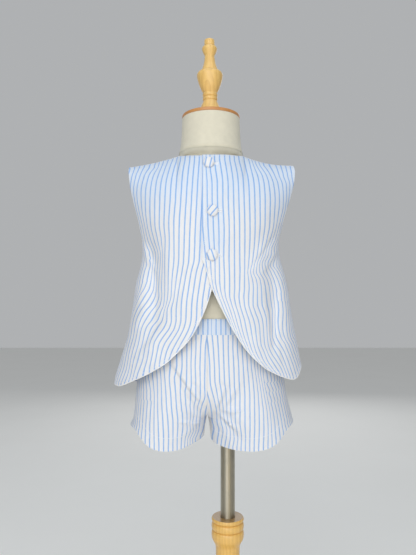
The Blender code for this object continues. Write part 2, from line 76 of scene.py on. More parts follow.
# The top's body rings: height, half width left, half width right, back depth, front depth.
TOP_RINGS = [
    (440, 158.0, 152.0, 89.0, 94.0),
    (465, 148.0, 143.0, 88.5, 93.0),
    (480, 145.6, 140.5, 88.0, 92.0),
    (494, 141.5, 138.0, 88.0, 91.5),
    (514, 135.2, 134.6, 87.5, 91.0),
    (547, 125.5, 128.0, 86.5, 89.5),
    (577, 120.5, 123.0, 85.5, 88.5),
    (600, 117.6, 119.2, 85.0, 88.0),
    (618, 114.7, 116.0, 84.5, 87.5),
    (642, 108.5, 110.0, 84.0, 87.0),
    (658, 105.6, 105.6, 83.5, 86.0),
    (680, 104.7, 103.4, 83.2, 84.0),
    (705, 111.0, 110.0, 82.4, 81.0),
    (737, 121.5, 121.5, 78.6, 76.0),
]
TOP_POWER = 2.25        # roundness of the rings: 2 is an ellipse, more is squarer
UNDERARM_Z = 680.0
CHEST_Z = 737.0         # the row where the rings end and the curve to the shoulder starts
ARMHOLE_SHARE = 0.80    # share of a quarter ring that the cloth covers at the chest row
GRID_X = 125.0          # half width that the columns are counted over
# The neckline's side point.
NECK_X = 50.0
NECK_POINT_Z = 816.6
# The shoulder seams, left and right: tip height, how soon they drop beside the neck, and how far the armhole
# bows out.
SHOULDERS = {-1: (799.3, 0.45, 0.0), 1: (802.0, 1.2, 2.6)}
# The neckline at the centre: depth, height, and the powers of its roundness, its depth and its rise.
BACK_NECK = (-47.6, 805.2, 0.62, 1.0, 0.9)
FRONT_NECK = (54.5, 789.0, 0.5, 0.88, 0.74)
# The curve from the chest to the shoulder: rise at the chest; reach and drop at the shoulder and at the neck.
BACK_YOKE = (30.0, (30.0, 10.0), (4.0, 12.0))
FRONT_YOKE = (26.0, (30.0, 10.0), (4.0, 16.0))

# Hem of the upper (right) back panel, from the lap edge to the side corner: x, z.
RIGHT_HEM = [
    (-12.5, 652), (-8.8, 643.6), (-3.4, 625.8), (0.9, 611.7), (9.8, 592.4), (20.5, 571.2), (29.2, 555.2),
    (39.5, 538.5), (48, 526.4), (63.8, 509.5), (78, 497.5), (90.6, 490.6), (103.9, 484.6), (119, 480.2),
    (124.5, 481.6), (129, 486.5), (133.5, 492.5), (138, 499),
]
# Hem of the under (left) back panel, x counted away from the centre.
LEFT_HEM = [
    (-12.5, 667), (-9, 640), (-1, 611), (8.5, 582), (20.3, 556), (30.5, 540), (47.3, 521.5), (63.1, 506.5),
    (76.9, 497.8), (101.2, 484.4), (115.3, 477.6), (126.6, 472), (137, 468.5), (147, 469),
]
# How far the front hem hangs below the line between its corners, by column.
FRONT_HEM = [(0.0, -6.0), (0.35, -9.0), (0.7, -10.0), (0.9, -5.0), (1.0, 0.0)]
SIDE_CORNER_Z = {-1: 469.0, 1: 499.0}

# Folds: side, points (x, z) along the fold's line, half width, height.
FOLDS = [
    (-1, [(97, 700), (88, 672), (83, 645), (82, 600), (84, 560)], 13.0, -8.0),
    (-1, [(110, 660), (104, 620), (106, 580), (112, 530)], 14.0, 5.5),
    (-1, [(40, 590), (62, 560), (84, 525), (100, 500)], 16.0, 5.0),
    (-1, [(60, 600), (66, 540), (62, 500)], 14.0, -2.5),
    (1, [(94, 688), (76, 660), (55, 636)], 9.0, 4.5),
    (1, [(84, 652), (88, 610), (89, 565), (86, 530)], 12.0, -8.0),
    (1, [(104, 640), (108, 590), (114, 540), (118, 500)], 14.0, 3.5),
    (1, [(40, 630), (52, 590), (62, 540), (66, 510)], 15.0, 2.5),
]
FRONT_FOLDS = [
    (-1, [(96, 690), (84, 640), (88, 570), (96, 500)], 13.0, -4.5),
    (-1, [(46, 640), (54, 560), (60, 480)], 15.0, 3.5),
    (1, [(98, 690), (86, 650), (84, 580), (92, 500)], 13.0, -4.0),
    (1, [(30, 620), (44, 560), (50, 480)], 16.0, 3.5),
]
# Finer creases of the backs, laid along the sheet's normal.
FINE_FOLDS = [
    (-1, [(104, 690), (92, 655), (74, 628)], 4.0, 2.4),
    (-1, [(88, 672), (83, 645), (80, 605), (82, 562)], 6.0, -2.6),
    (-1, [(74, 610), (96, 575), (118, 548)], 5.0, 2.6),
    (-1, [(66, 575), (88, 545), (110, 516)], 4.5, -2.2),
    (-1, [(30, 640), (36, 600), (44, 560)], 7.0, 1.4),
    (-1, [(56, 700), (60, 650), (58, 600)], 6.0, 1.2),
    (1, [(96, 694), (76, 662), (53, 638)], 3.6, -2.8),
    (1, [(100, 676), (84, 652), (66, 628)], 4.0, 2.4),
    (1, [(8, 655), (21, 679), (40, 702)], 4.5, 1.0),
    (1, [(74, 600), (80, 560), (82, 520)], 5.0, 2.2),
    (1, [(96, 590), (98, 550), (98, 510)], 5.0, 2.0),
    (1, [(24, 610), (34, 580), (46, 548)], 6.0, 1.3),
    (1, [(104, 560), (98, 530), (104, 500)], 4.0, -1.6),
]
# Lines of the stripes as they hang on the backs: stripe number, points (z, distance from the centre).
GRAIN = {
    "top_back_left": [
        (0, [(511, 59.0), (522, 55.1), (534, 49.2), (545, 43.0), (556, 37.9), (567, 35.3), (589, 34.3),
             (611, 31.5), (634, 27.8), (650, 23.9), (692, 22.2), (735, 20.1), (770, 18.4), (796, 17.1)]),
        (2, [(505, 72.5), (522, 69.4), (533, 65.4), (545, 57.5), (556, 51.0), (567, 48.7), (578, 48.6),
             (600, 46.4), (623, 42.7), (651, 38.4), (693, 37.2), (735, 35.0), (770, 33.1), (797, 31.0)]),
        (4, [(499, 86.7), (522, 81.8), (533, 80.3), (544, 74.7), (556, 65.9), (567, 61.9), (578, 61.8),
             (600, 56.1), (623, 54.9), (657, 52.0), (702, 52.4), (736, 50.2), (772, 48.7), (799, 45.1)]),
        (6, [(476, 108.0), (487, 105.2), (510, 96.8), (532, 92.4), (555, 84.8), (567, 75.2), (578, 70.8),
             (589, 66.5), (612, 65.2), (646, 65.5), (680, 64.9), (702, 66.7), (736, 65.4), (760, 64.5),
             (789, 60.6), (806, 57.7)]),
        (8, [(470, 121.0), (486, 115.6), (509, 110.9), (532, 104.3), (555, 99.4), (566, 93.9), (578, 86.2),
             (589, 77.8), (601, 74.1), (612, 74.7), (635, 73.3), (658, 71.9), (681, 76.4), (704, 80.4),
             (726, 80.5), (762, 79.1), (790, 73.5), (798, 71.9)]),
        (10, [(472, 131.6), (496, 122.6), (519, 118.8), (542, 112.7), (566, 107.7), (578, 102.1), (589, 94.3),
             (601, 86.8), (612, 82.7), (635, 81.7), (659, 79.8), (683, 87.8), (706, 93.1), (728, 94.8),
             (751, 94.6), (777, 91.1), (791, 84.4)]),
        (12, [(472, 140.5), (496, 132.5), (519, 127.8), (542, 122.8), (565, 119.7), (589, 110.2),
              (601, 103.7), (612, 96.2), (624, 92.0), (636, 89.6), (647, 88.1), (659, 88.8), (684, 97.6),
              (707, 101.5), (730, 106.5), (754, 109.2), (778, 105.1), (794, 100.8)]),
    ],
    "top_back_right": [
        (0, [(500, 45.0), (522, 30.0), (545, 20.0), (567, 12.0), (589, 5.0), (600, 2.0), (611, -0.5),
             (634, -5.4), (656, -7.9), (678, -10.2), (701, -12.1), (735, -12.4)]),
        (2, [(500, 55.0), (511, 47.0), (522, 42.0), (534, 37.0), (545, 33.0), (556, 28.5), (567, 24.4),
             (578, 19.0), (589, 14.8), (600, 10.6), (611, 7.3), (623, 5.5), (645, 5.2), (689, 3.3),
             (712, 2.5), (735, 1.3), (758, 1.1), (783, -1.4), (797, -1.7)]),
        (4, [(500, 63.0), (511, 55.0), (522, 49.0), (530, 45.0), (539, 40.4), (556, 34.2), (567, 30.5),
             (578, 27.1), (589, 23.3), (600, 19.8), (611, 18.6), (623, 18.5), (656, 17.3), (689, 17.9),
             (735, 16.2), (758, 16.2), (783, 13.9), (797, 12.2)]),
        (6, [(490, 78.0), (500, 70.0), (511, 61.0), (522, 53.9), (534, 49.2), (545, 45.5), (556, 42.4),
             (567, 40.1), (578, 36.9), (589, 33.6), (600, 31.8), (611, 32.5), (645, 32.3), (690, 32.2),
             (735, 31.4), (758, 31.0), (783, 28.7), (796, 27.0)]),
        (8, [(490, 86.0), (500, 76.5), (511, 68.0), (522, 62.5), (534, 58.9), (545, 56.7), (556, 54.9),
             (567, 52.5), (578, 48.8), (589, 46.1), (600, 45.4), (612, 46.3), (645, 46.7), (690, 47.1),
             (735, 46.2), (771, 45.1), (784, 43.3), (798, 40.9)]),
        (10, [(489, 94.0), (499, 85.7), (511, 78.2), (522, 74.0), (533, 69.5), (544, 68.4), (556, 67.6),
             (567, 65.6), (578, 61.5), (589, 58.3), (600, 58.6), (612, 59.2), (623, 57.8), (634, 55.0),
             (645, 57.2), (657, 59.1), (680, 61.4), (702, 61.9), (736, 61.6), (760, 61.2), (788, 58.4),
             (806, 57.1)]),
        (12, [(486, 104.0), (498, 99.1), (510, 91.2), (521, 84.0), (533, 80.1), (544, 78.9), (566, 77.9),
             (578, 75.1), (589, 71.5), (612, 70.6), (623, 69.0), (634, 63.5), (645, 64.6), (657, 69.2),
             (669, 71.8), (681, 74.0), (703, 76.6), (737, 76.8), (762, 76.0), (775, 74.2), (789, 69.1),
             (798, 66.9)]),
        (14, [(484, 113.5), (497, 108.4), (509, 104.0), (521, 98.5), (532, 91.0), (544, 86.9), (566, 87.7),
             (578, 88.1), (589, 86.5), (601, 84.7), (612, 83.4), (624, 80.0), (635, 73.6), (646, 72.0),
             (658, 77.0), (669, 80.1), (681, 84.8), (705, 90.6), (716, 91.2), (739, 92.1), (763, 90.4),
             (776, 87.1), (795, 79.0)]),
        (16, [(484, 124.0), (497, 120.0), (509, 115.5), (520, 110.9), (532, 106.1), (543, 99.1), (555, 96.3),
             (566, 95.8), (578, 95.8), (589, 95.6), (601, 94.9), (612, 93.6), (624, 90.6), (635, 85.9),
             (647, 80.6), (659, 85.9), (670, 87.2), (683, 93.7), (707, 100.5), (718, 103.2), (730, 105.5),
             (741, 105.8), (765, 104.3), (778, 100.4), (793, 98.8)]),
    ],
    "shorts_back_left": [
        (0, [(394, 23.4), (404, 18.9), (420, 16.8), (434, 15.7), (448, 12.6), (461, 8.9), (480, 9.3),
             (502, 8.8), (525, 8.4), (545, 5.6)]),
        (2, [(396, 30.6), (407, 25.9), (420, 26.5), (431, 24.8), (444, 24.3), (457, 21.5), (480, 21.5),
             (502, 22.4), (524, 21.4)]),
        (4, [(387, 37.9), (398, 36.9), (410, 34.3), (433, 34.6), (444, 35.9), (465, 36.9), (474, 35.0),
             (482, 34.5), (502, 34.2), (524, 34.2)]),
        (6, [(388, 48.3), (400, 48.1), (423, 47.0), (445, 49.1), (468, 50.7), (484, 51.9), (493, 49.9),
             (502, 48.4), (513, 48.5), (524, 49.4)]),
        (8, [(389, 60.4), (401, 59.9), (423, 60.7), (445, 62.8), (467, 64.4), (490, 66.3), (501, 67.4)]),
        (10, [(389, 73.6), (423, 74.7), (445, 75.7), (467, 76.1), (489, 77.6), (500, 79.7)]),
        (12, [(389, 86.6), (411, 86.6), (433, 85.8), (455, 85.2), (466, 87.0), (487, 91.9)]),
    ],
    "shorts_back_right": [
        (9, [(378, 9.2), (391, 10.0), (405, 11.9), (417, 9.3), (431, 8.4), (445, 6.6), (457, 3.9), (469, 0.7),
             (480, -1.4), (502, -2.0), (525, -3.9), (545, -6.2)]),
        (11, [(383, 20.0), (396, 21.9), (408, 23.0), (420, 19.9), (432, 17.8), (445, 16.7), (457, 15.1),
             (469, 13.8), (480, 11.9), (502, 11.1), (525, 10.0), (545, 8.8)]),
        (13, [(386, 31.2), (398, 32.9), (410, 31.6), (421, 29.1), (433, 28.0), (456, 27.4), (480, 25.6),
             (502, 24.7), (524, 24.1)]),
        (15, [(388, 42.4), (400, 43.1), (411, 41.9), (423, 40.6), (456, 40.7), (479, 39.3), (502, 38.6),
             (524, 37.0)]),
        (17, [(389, 54.3), (424, 54.3), (456, 54.6), (479, 53.3), (501, 51.2), (524, 50.3)]),
        (19, [(389, 66.7), (412, 67.4), (434, 67.6), (456, 67.0), (478, 64.9), (501, 61.7)]),
        (21, [(389, 80.0), (411, 80.3), (434, 79.4), (455, 76.2), (478, 72.4), (489, 70.4)]),
        (23, [(394, 91.8), (410, 90.2), (433, 87.9), (455, 83.9), (477, 78.8)]),
    ],
}

# The shorts' rings: height, half width left, half width right, back depth, front depth.
SHORTS_RINGS = [
    (376, 127.5, 131.0, 74.0, 73.0),
    (392, 125.0, 128.5, 74.5, 73.5),
    (407, 122.0, 127.5, 75.5, 74.5),
    (414, 118.6, 125.0, 77.0, 75.0),
    (422, 116.6, 123.0, 78.0, 75.5),
    (448, 114.2, 116.4, 79.5, 77.0),
    (472, 112.2, 112.2, 80.0, 78.0),
    (492, 109.0, 109.0, 79.0, 78.0),
    (512, 104.0, 104.0, 77.0, 77.0),
    (532, 96.5, 96.5, 74.0, 74.5),
    (546, 91.6, 91.6, 71.7, 72.5),
]
SHORTS_POWER = 2.15
WAIST_Z = (546.0, 568.0)
WAIST_HALF = (91.6, 71.7, 72.5)
WAIST_STRIPES = 1.07    # the band's stripes sit a little closer than the panels'
# The centre seam turns from the seat into the inseam between these heights; the panels close into legs
# between LEG_TURN_Z.
SEAT_TURN_Z = 467.0
CROTCH_Z = 419.0
LEG_TURN_Z = (500.0, 392.0)
SEAM_DRIFT = -5.8       # sideways place of the centre seam, which fades out at the side seams
INSEAM_X = [(385, 5.9), (395, 4.9), (404, 4.1), (419, 1.3)]
# The leg hems from the inner edge to the side seam: x counted away from the centre, z.
LEG_HEM = {
    -1: [(10, 390), (14, 390.2), (21, 389.2), (29, 387.4), (38, 384.4), (47, 382.2), (62, 381.2),
         (74, 382.2), (88, 387), (101, 398), (111, 407), (121, 408.5)],
    1: [(1, 384.5), (5, 383.4), (12, 382.8), (20, 382.4), (33, 381.6), (57, 381.4), (76.5, 384),
        (91, 389.5), (101, 398.5), (112, 409), (127, 414)],
}
LEG_HEM_DEPTH = 19.0
SHORTS_MIDDLE = 75.0    # length to which the fronts' stripes have run at their middle column
SHORTS_FOLDS = [
    (-1, [(58, 500), (44, 480), (30, 458), (14, 438)], 7.0, -3.3),
    (-1, [(60, 440), (40, 432), (20, 424)], 7.0, 2.8),
    (1, [(70, 400), (50, 425), (26, 440)], 8.0, 3.2),
    (1, [(96, 470), (100, 440), (104, 405)], 12.0, -3.0),
]
# Finer creases that fan out from the crotch.
CROTCH_CREASES = [
    (-1, [(62, 507), (48, 490), (35, 472), (23, 456), (10, 443)], 1.9, -3.6),
    (-1, [(55, 505), (43, 489), (30, 470), (18, 454)], 3.0, 2.2),
    (-1, [(66, 452), (44, 442), (20, 430)], 3.0, 2.0),
    (-1, [(60, 466), (44, 458), (30, 452)], 2.6, -1.4),
    (-1, [(48, 424), (30, 420), (12, 420)], 2.4, 3.0),
    (-1, [(20, 486), (14, 466), (8, 446)], 2.4, 2.6),
    (-1, [(30, 478), (18, 474), (6, 468)], 2.4, -1.6),
    (-1, [(48, 400), (32, 408), (20, 421), (10, 434)], 2.8, 2.5),
    (1, [(33, 470), (20, 474), (6, 477)], 2.4, -1.8),
    (1, [(18, 470), (12, 456), (5, 440)], 2.4, 2.8),
    (1, [(40, 480), (30, 462), (18, 444)], 2.4, 2.4),
    (1, [(54, 436), (34, 436), (12, 440)], 2.4, 2.8),
    (1, [(46, 404), (24, 422), (6, 438)], 2.4, 3.6),
    (1, [(46, 392), (32, 408), (16, 422)], 2.4, -2.8),
    (1, [(26, 392), (20, 404), (12, 416)], 2.8, 2.0),
]

# Buttons: node, x, z and slant of the stripes in degrees.
BUTTONS = [
    ("button_upper", -3.3, 789.8, 13.0),
    ("button_middle", 1.9, 719.0, 42.0),
    ("button_lower", 0.9, 657.0, -20.0),
]
BUTTON_PROFILE = [(5.6, 0.0), (7.2, 0.35), (7.8, 1.1), (7.75, 1.9), (7.3, 2.9), (6.1, 3.9), (4.2, 4.6),
                  (2.1, 5.0), (0.0, 5.1)]
BUTTON_TURN = (0, -1.2, 0)      # added to the cloth's normal, so that a button turns a little to the viewer
BUTTON_OVAL = 1.06              # height of a button over its width
BUTTON_RISE = 0.1               # gap between a button's cloth and the panel

# A buttonhole, counted from the button's middle: start and end of the slot, and half its worked height.
HOLE_START, HOLE_END, HOLE_HALF = 6.0, 12.4, 2.0
LIP_AT, LIP_RADIUS, BAR_RADIUS = 1.25, 0.74, 0.95
THREAD_RADIUS, THREAD_STEP = 0.2, 0.46

# A machine stitch: shares of its length with its rise over the cloth, in thread radii.
STITCH_ARC = ((0.0, -0.25), (0.2, 0.55), (0.5, 0.8), (0.8, 0.55), (1.0, -0.25))
TOP_HEM_DEPTH = 4.0
EDGE_STITCH = 3.0       # distance of the stitches from the top's neck, shoulder and lap edges
HEM_ROLL = (0.72, 0.1)  # radius of the white turned edge, and how far it stands off the cloth's middle

# The form's rings: height, half width, half depth, and the power of its roundness.
FORM_RINGS = [
    (440, 70, 45, 2.2), (443.5, 79, 53, 2.2), (449, 85, 58.5, 2.2), (456, 88.5, 62.5, 2.2),
    (468, 91.5, 66, 2.2), (482, 93.5, 68.5, 2.2), (505, 93.5, 70, 2.2), (530, 91.5, 70, 2.15),
    (546, 90.3, 70.2, 2.15), (568, 90.3, 70.2, 2.15), (590, 89.5, 69.5, 2.15), (620, 90, 70.5, 2.2),
    (655, 93, 72.5, 2.2), (690, 97, 73.5, 2.2), (715, 100, 72, 2.2), (740, 103.5, 69, 2.2),
    (760, 105.5, 64, 2.1), (775, 105.5, 58, 1.95), (786, 103, 52, 1.75), (794, 97, 46, 1.6),
    (800, 88, 41.6, 1.5), (804.5, 75, 40.6, 1.42), (808, 63.5, 41, 1.38), (812, 51.6, 42.8, 1.5),
    (816, 48.6, 45.5, 1.9), (822, 48.3, 48.3, 2.0), (835, 46.3, 46.3, 2.0), (855, 45.0, 45.0, 2.0),
    (873.5, 44.3, 44.3, 2.0),
]
NECK_SEAM = (48.9, 819.3, 0.8)      # radius, height, rise at both sides
NECK_CAP = [(43.7, 873.7), (44.4, 874.3), (44.5, 876.1), (44.3, 878), (43.6, 878.6)]
# Turned outlines, radius and height; None marks a crisp corner at the point before it.
FINIAL = [
    (17.6, 878.8), (17.6, 883), (15.2, 891.5), (12.8, 897.6), (11.2, 901), (10.3, 902.8), None,
    (11.1, 903.9), (11.4, 905.8), (11.1, 907.8), (10.2, 908.6), None,
    (11.2, 909.8), (11.6, 911.8), (11.3, 913.8), (10.6, 914.9), None,
    (14.4, 922), (17.2, 929.4), (18.9, 935.2), (20.0, 940.6), (19.7, 943.6), (18.3, 946.2),
    (15.4, 947.9), (12.0, 948.4), None,
    (12.9, 949.8), (11.0, 955), (8.9, 962.5), (7.8, 970), (7.5, 972.6), None,
    (9.3, 976.4), (11.2, 980.8), (11.7, 983), (10.9, 985.6), (9.2, 987.3), (7.3, 988), None,
    (7.9, 989.4), (7.8, 996), (6.9, 997.4),
]
FINIAL_SHIFT = 0.9      # how far left of the form's middle it stands
FINIAL_LEAN = 0.012     # how far left it leans for its height
POST = [
    (23.4, 22.3), (24.6, 30), (24.6, 37), (20.5, 44), (19.5, 52), (22.8, 60), (22.8, 66), (19.6, 74),
    (18.4, 100), (18.2, 140), (18.2, 185), (18.4, 205), (19.0, 216), (21.2, 221.5), (24.2, 227.5), (25, 233),
    (24.7, 237.6), (23.6, 240), (21.9, 241), None,
    (24.0, 242.3), (24.9, 245.4), (24.9, 248.4), (24.0, 251.5), (21.9, 253.1), None,
    (23.9, 254.3), (24.8, 256.3), (24.6, 258.4), (23.7, 260),
]
BORE_RADIUS = 11.3
BORE_FLOOR_Z = 59.7
BORE_EDGE = 0.15
BASE = [(128, 0), (130, 2), (130, 14), (128.5, 18.5), (124, 21.3), (118, 22)]
POLE_RADIUS = 11.0
POLE_EDGE = 0.4
POLE_Z = (60.0, 439.7)

# White cottons, and the tints that turn a colour into its neighbours.
WHITE_EDGE = (0.86, 0.87, 0.88)
WHITE_THREAD = (0.84, 0.87, 0.92)
LINED_TINT = (0.84, 0.93, 1.05)
DARK_GRAIN_TINT = (0.80, 0.68, 0.52)
END_GRAIN_TINT = (0.5, 0.48, 0.62)
POST_TINT = (1.0, 0.95, 0.82)
# Where the top's doubled cloth turns bluer, in metres: up to the yoke, out from the lap, and up the lap.
YOKE_TINT_Z = (0.690, 0.768)
LAP_TINT_X = (0.014, 0.026)
LAP_TINT_Z = (0.640, 0.680)
# Threads: spacing in the striped cotton's UV units, number round the canvas, spacing up the canvas in metres.
WARP_STEP, WEFT_STEP = 0.028, 0.031
CANVAS_WARPS = 46 * 2 * math.pi
CANVAS_WEFT_STEP = 0.0010

# The photograph's camera: distance, eye height and focal length worked out from the pole and the stripes.
CAMERA_AT = (-0.0305, -0.816, 0.592)
CAMERA_LENS = 34.18
CAMERA_SHIFT = 0.0441
# Area lights: name, place, size, power and colour. All aim at one point.
LIGHTS = [
    ("key", (-0.8, -1.9, 1.5), 1.5, 11, (1.0, 0.99, 0.97)),
    ("fill", (0.1, -1.95, 0.75), 2.3, 25, (1.0, 0.975, 0.945)),
    ("top", (0.0, -0.5, 2.4), 1.5, 7, (0.66, 0.83, 1.0)),
    ("back", (0.2, 2.2, 1.4), 1.6, 10, (1.0, 1.0, 1.0)),
]
LIGHTS_AIM = (-0.02, 0, 0.62)
# The room: how far to the side it starts and stops darkening, and its strength before and after.
ROOM_SIDES = (0.78, 0.94, 0.50, 0.17)
FLOOR_HALF = 6


class ShortsSetSettings(bpy.types.PropertyGroup):
    """Sizes and colours a user would change."""

    stripe_pitch: bpy.props.FloatProperty(
        name="Stripe pitch", description="Distance from one stripe to the next", default=0.0073,
        min=0.001, unit="LENGTH")
    stripe_width: bpy.props.FloatProperty(
        name="Stripe width", description="Width of one blue stripe", default=0.0019,
        min=0.0002, unit="LENGTH")
    ground: bpy.props.FloatVectorProperty(
        name="Ground", description="Colour of the cotton between the stripes", default=(0.79, 0.79, 0.80),
        subtype="COLOR", min=0, max=1)
    stripe: bpy.props.FloatVectorProperty(
        name="Stripe", description="Colour of the stripes", default=(0.20, 0.40, 0.76), subtype="COLOR",
        min=0, max=1)
    canvas: bpy.props.FloatVectorProperty(
        name="Canvas", description="Colour of the form's cover", default=(0.70, 0.66, 0.53), subtype="COLOR",
        min=0, max=1)
    wood: bpy.props.FloatVectorProperty(
        name="Wood", description="Colour of the turned honey wood", default=(0.74, 0.485, 0.158),
        subtype="COLOR", min=0, max=1)
    cap_wood: bpy.props.FloatVectorProperty(
        name="Cap wood", description="Colour of the neck cap", default=(0.50, 0.225, 0.065), subtype="COLOR",
        min=0, max=1)
    cell: bpy.props.FloatProperty(
        name="Cloth cell", description="Spacing of the cloth meshes", default=0.0026,
        min=0.001, unit="LENGTH")
    wrinkle: bpy.props.FloatProperty(
        name="Wrinkle height", description="Height of the small uneven wrinkles", default=0.001, min=0,
        unit="LENGTH")


def settings():
    """The scene's own values."""
    return bpy.context.scene.shorts_set


def cells(*lengths):
    """How many cells of the cloth meshes go into each length."""
    cell = settings().cell / MM
    return [round(length / cell) for length in lengths]


def slopes(xs, ys):
    """Monotone cubic slopes at each point of a table."""
    step = np.diff(xs)
    rise = np.diff(ys) / step
    out = np.zeros(len(xs))
    out[0] = rise[0]
    out[-1] = rise[-1]
    for i in range(1, len(xs) - 1):
        if rise[i - 1] * rise[i] > 0:
            out[i] = 2 * rise[i - 1] * rise[i] / (rise[i - 1] + rise[i])
    return out


def reader(points):
    """A function that reads a smooth curve through (x, y) points, held level past the ends."""
    xs = np.array([p[0] for p in points], float)
    ys = np.array([p[1] for p in points], float)
    tangent = slopes(xs, ys)

    def read(at):
        at = min(max(at, xs[0]), xs[-1])
        i = min(int(np.searchsorted(xs, at, side="right")) - 1, len(xs) - 2)
        width = xs[i + 1] - xs[i]
        t = (at - xs[i]) / width
        a = (1 + 2 * t) * (1 - t) ** 2
        b = t * (1 - t) ** 2
        c = t * t * (3 - 2 * t)
        d = t * t * (t - 1)
        return a * ys[i] + b * width * tangent[i] + c * ys[i + 1] + d * width * tangent[i + 1]

    return read


def ease(value):
    """Smooth step from 0 to 1."""
    value = min(max(value, 0.0), 1.0)
    return value * value * (3 - 2 * value)


def running(steps):
    """Running total of a row of steps, from zero."""
    return np.concatenate([[0], np.cumsum(steps)])


def ring_readers(rings):
    """Readers for half width left, half width right, back depth and front depth by height."""
    return [reader([(row[0], row[column]) for row in rings]) for column in range(1, 5)]


TOP_READ = ring_readers(TOP_RINGS)
SHORTS_READ = ring_readers(SHORTS_RINGS)
INSEAM_READ = reader(INSEAM_X)
QUARTER = np.linspace(0, math.pi / 2, 121)


def quarter_ring(width, depth, power):
    """Lengths and points of a superellipse quarter from (0, depth) to (width, 0)."""
    x = width * np.sin(QUARTER) ** (2 / power)
    y = depth * np.abs(np.cos(QUARTER)) ** (2 / power)
    return running(np.hypot(np.diff(x), np.diff(y))), x, y


def top_ring(z, side, back):
    """The top's quarter ring at one height, with its length out to the armhole or side seam."""
    width = TOP_READ[0 if side < 0 else 1](z)
    depth = TOP_READ[2 if back else 3](z)
    length, x, y = quarter_ring(width, depth, TOP_POWER)
    share = 1.0
    if z > UNDERARM_Z:
        rise = min((z - UNDERARM_Z) / (CHEST_Z - UNDERARM_Z), 1.0)
        share = 1 - (1 - ARMHOLE_SHARE) * math.sqrt(1 - (1 - rise) ** 2)
    return length, x, y, length[-1] * share


def across(column, edge):
    """Length from the centre of a column: straight columns near the centre, the edge at column 1."""
    size = abs(column)
    return math.copysign(GRID_X * size + (edge - GRID_X) * size ** 3, column)


def fold_height(folds, side, x, z):
    """Sum of the folds' heights at a point of one half; each fold fades out towards both of its ends."""
    total = 0.0
    for fold_side, line, half, height in folds:
        if fold_side != side:
            continue
        best = 1e9
        share = 0.0
        lengths = [math.dist(line[i], line[i + 1]) for i in range(len(line) - 1)]
        run = 0.0
        for i, size in enumerate(lengths):
            ax, az = line[i]
            bx, bz = line[i + 1]
            t = ((x - ax) * (bx - ax) + (z - az) * (bz - az)) / size ** 2
            t = min(max(t, 0.0), 1.0)
            gap = math.hypot(x - ax - t * (bx - ax), z - az - t * (bz - az))
            if gap < best:
                best = gap
                share = (run + t * size) / sum(lengths)
            run += size
        if best > FOLD_REACH * half:
            continue
        fade = math.sin(math.pi * min(max(share, 0.08), 0.92)) ** 0.6
        total += height * fade * math.exp(-(best / half) ** 2)
    return total


def shoulder_edge(column, side, back):
    """Point of the neckline or the shoulder seam on one column."""
    x = GRID_X * abs(column)
    neck_y, neck_z, roundness, depth_power, rise_power = BACK_NECK if back else FRONT_NECK
    if x <= NECK_X:
        across_neck = max(1 - (x / NECK_X) ** 2, 0.0) ** roundness
        y = abs(neck_y) * across_neck ** depth_power
        z = neck_z + (NECK_POINT_Z - neck_z) * (1 - across_neck) ** rise_power
        return Vector((x, y, z))
    tip, sag, _ = SHOULDERS[side]
    down = (x - NECK_X) / (GRID_X - NECK_X)
    down *= 1 + sag * (1 - down)
    return Vector((x, 0.0, NECK_POINT_Z + (tip - NECK_POINT_Z) * down))


def top_point(column, z, lift, side, back):
    """A point of the top's middle surface; lift runs 0 to 1 from the chest row to the shoulder."""
    length, xs, ys, edge = top_ring(min(z, CHEST_Z), side, back)
    reach = abs(across(column, edge))
    x = float(np.interp(reach, length, xs))
    y = float(np.interp(reach, length, ys))
    if lift > 0:
        end = shoulder_edge(column, side, back)
        start = Vector((x, y, CHEST_Z))
        near_neck = 1 - ease((GRID_X * abs(column)) / (NECK_X * 1.5))
        rise, reaches, drops = BACK_YOKE if back else FRONT_YOKE
        out = reaches[0] * (1 - near_neck) + reaches[1] * near_neck
        drop = drops[0] * (1 - near_neck) + drops[1] * near_neck
        first = start + Vector((0.7 * (end.x - x), 0, rise))
        second = end + Vector((0, out, -drop))
        t = lift
        point = (start * (1 - t) ** 3 + first * 3 * t * (1 - t) ** 2 + second * 3 * t * t * (1 - t)
                 + end * t ** 3)
        point.x += SHOULDERS[side][2] * math.sin(math.pi * t) * abs(column) ** 6
    else:
        point = Vector((x, y, z))
        fade = ease((1 - abs(column)) / 0.12)
        point.y += fold_height(FOLDS if back else FRONT_FOLDS, side, x, z) * fade
    point.x = math.copysign(point.x, column) * side
    point.y += SEAM
    if back:
        point.y = -point.y
    return point


def hem_by_column(table, side, back):
    """A reader of hem height by column from a table of (x, z)."""
    grid = np.linspace(0, 1, 201)
    points = []
    for x, z in table:
        length, xs, _, edge = top_ring(z, side, back)
        reach = float(np.interp(abs(x), xs, length))
        columns = GRID_X * grid + (edge - GRID_X) * grid ** 3
        points.append((math.copysign(float(np.interp(reach, columns, grid)), x), z))
    points.sort()
    kept = [points[0]]
    for point in points[1:]:
        if point[0] - kept[-1][0] > 1e-4:
            kept.append(point)
    kept[-1] = (1.0, kept[-1][1])
    return reader(kept)


def front_hem(drops, column, side):
    """Height of the front hem, meeting both side corners and level across the centre."""
    middle = (SIDE_CORNER_Z[-1] + SIDE_CORNER_Z[1]) / 2
    share = ease(abs(column) / 0.9)
    return middle + (SIDE_CORNER_Z[side] - middle) * share + drops(abs(column))


def top_grid(columns, side, back, hem):
    """Rows of the top's middle surface from the hem to the neckline and shoulder."""
    below, beside, over = cells(*TOP_ROWS)
    rows = []
    for step in range(below + beside + over + 1):
        row = []
        for column in columns:
            bottom = hem(column)
            if step <= below:
                z, lift = bottom + (UNDERARM_Z - bottom) * step / below, 0.0
            elif step <= below + beside:
                rise = 1 - math.cos(math.pi / 2 * (step - below) / beside)
                z, lift = UNDERARM_Z + (CHEST_Z - UNDERARM_Z) * rise, 0.0
            else:
                z, lift = CHEST_Z, (step - below - beside) / over
            row.append(top_point(column, z, lift, side, back))
        rows.append(row)
    return np.array([[list(point) for point in row] for row in rows])


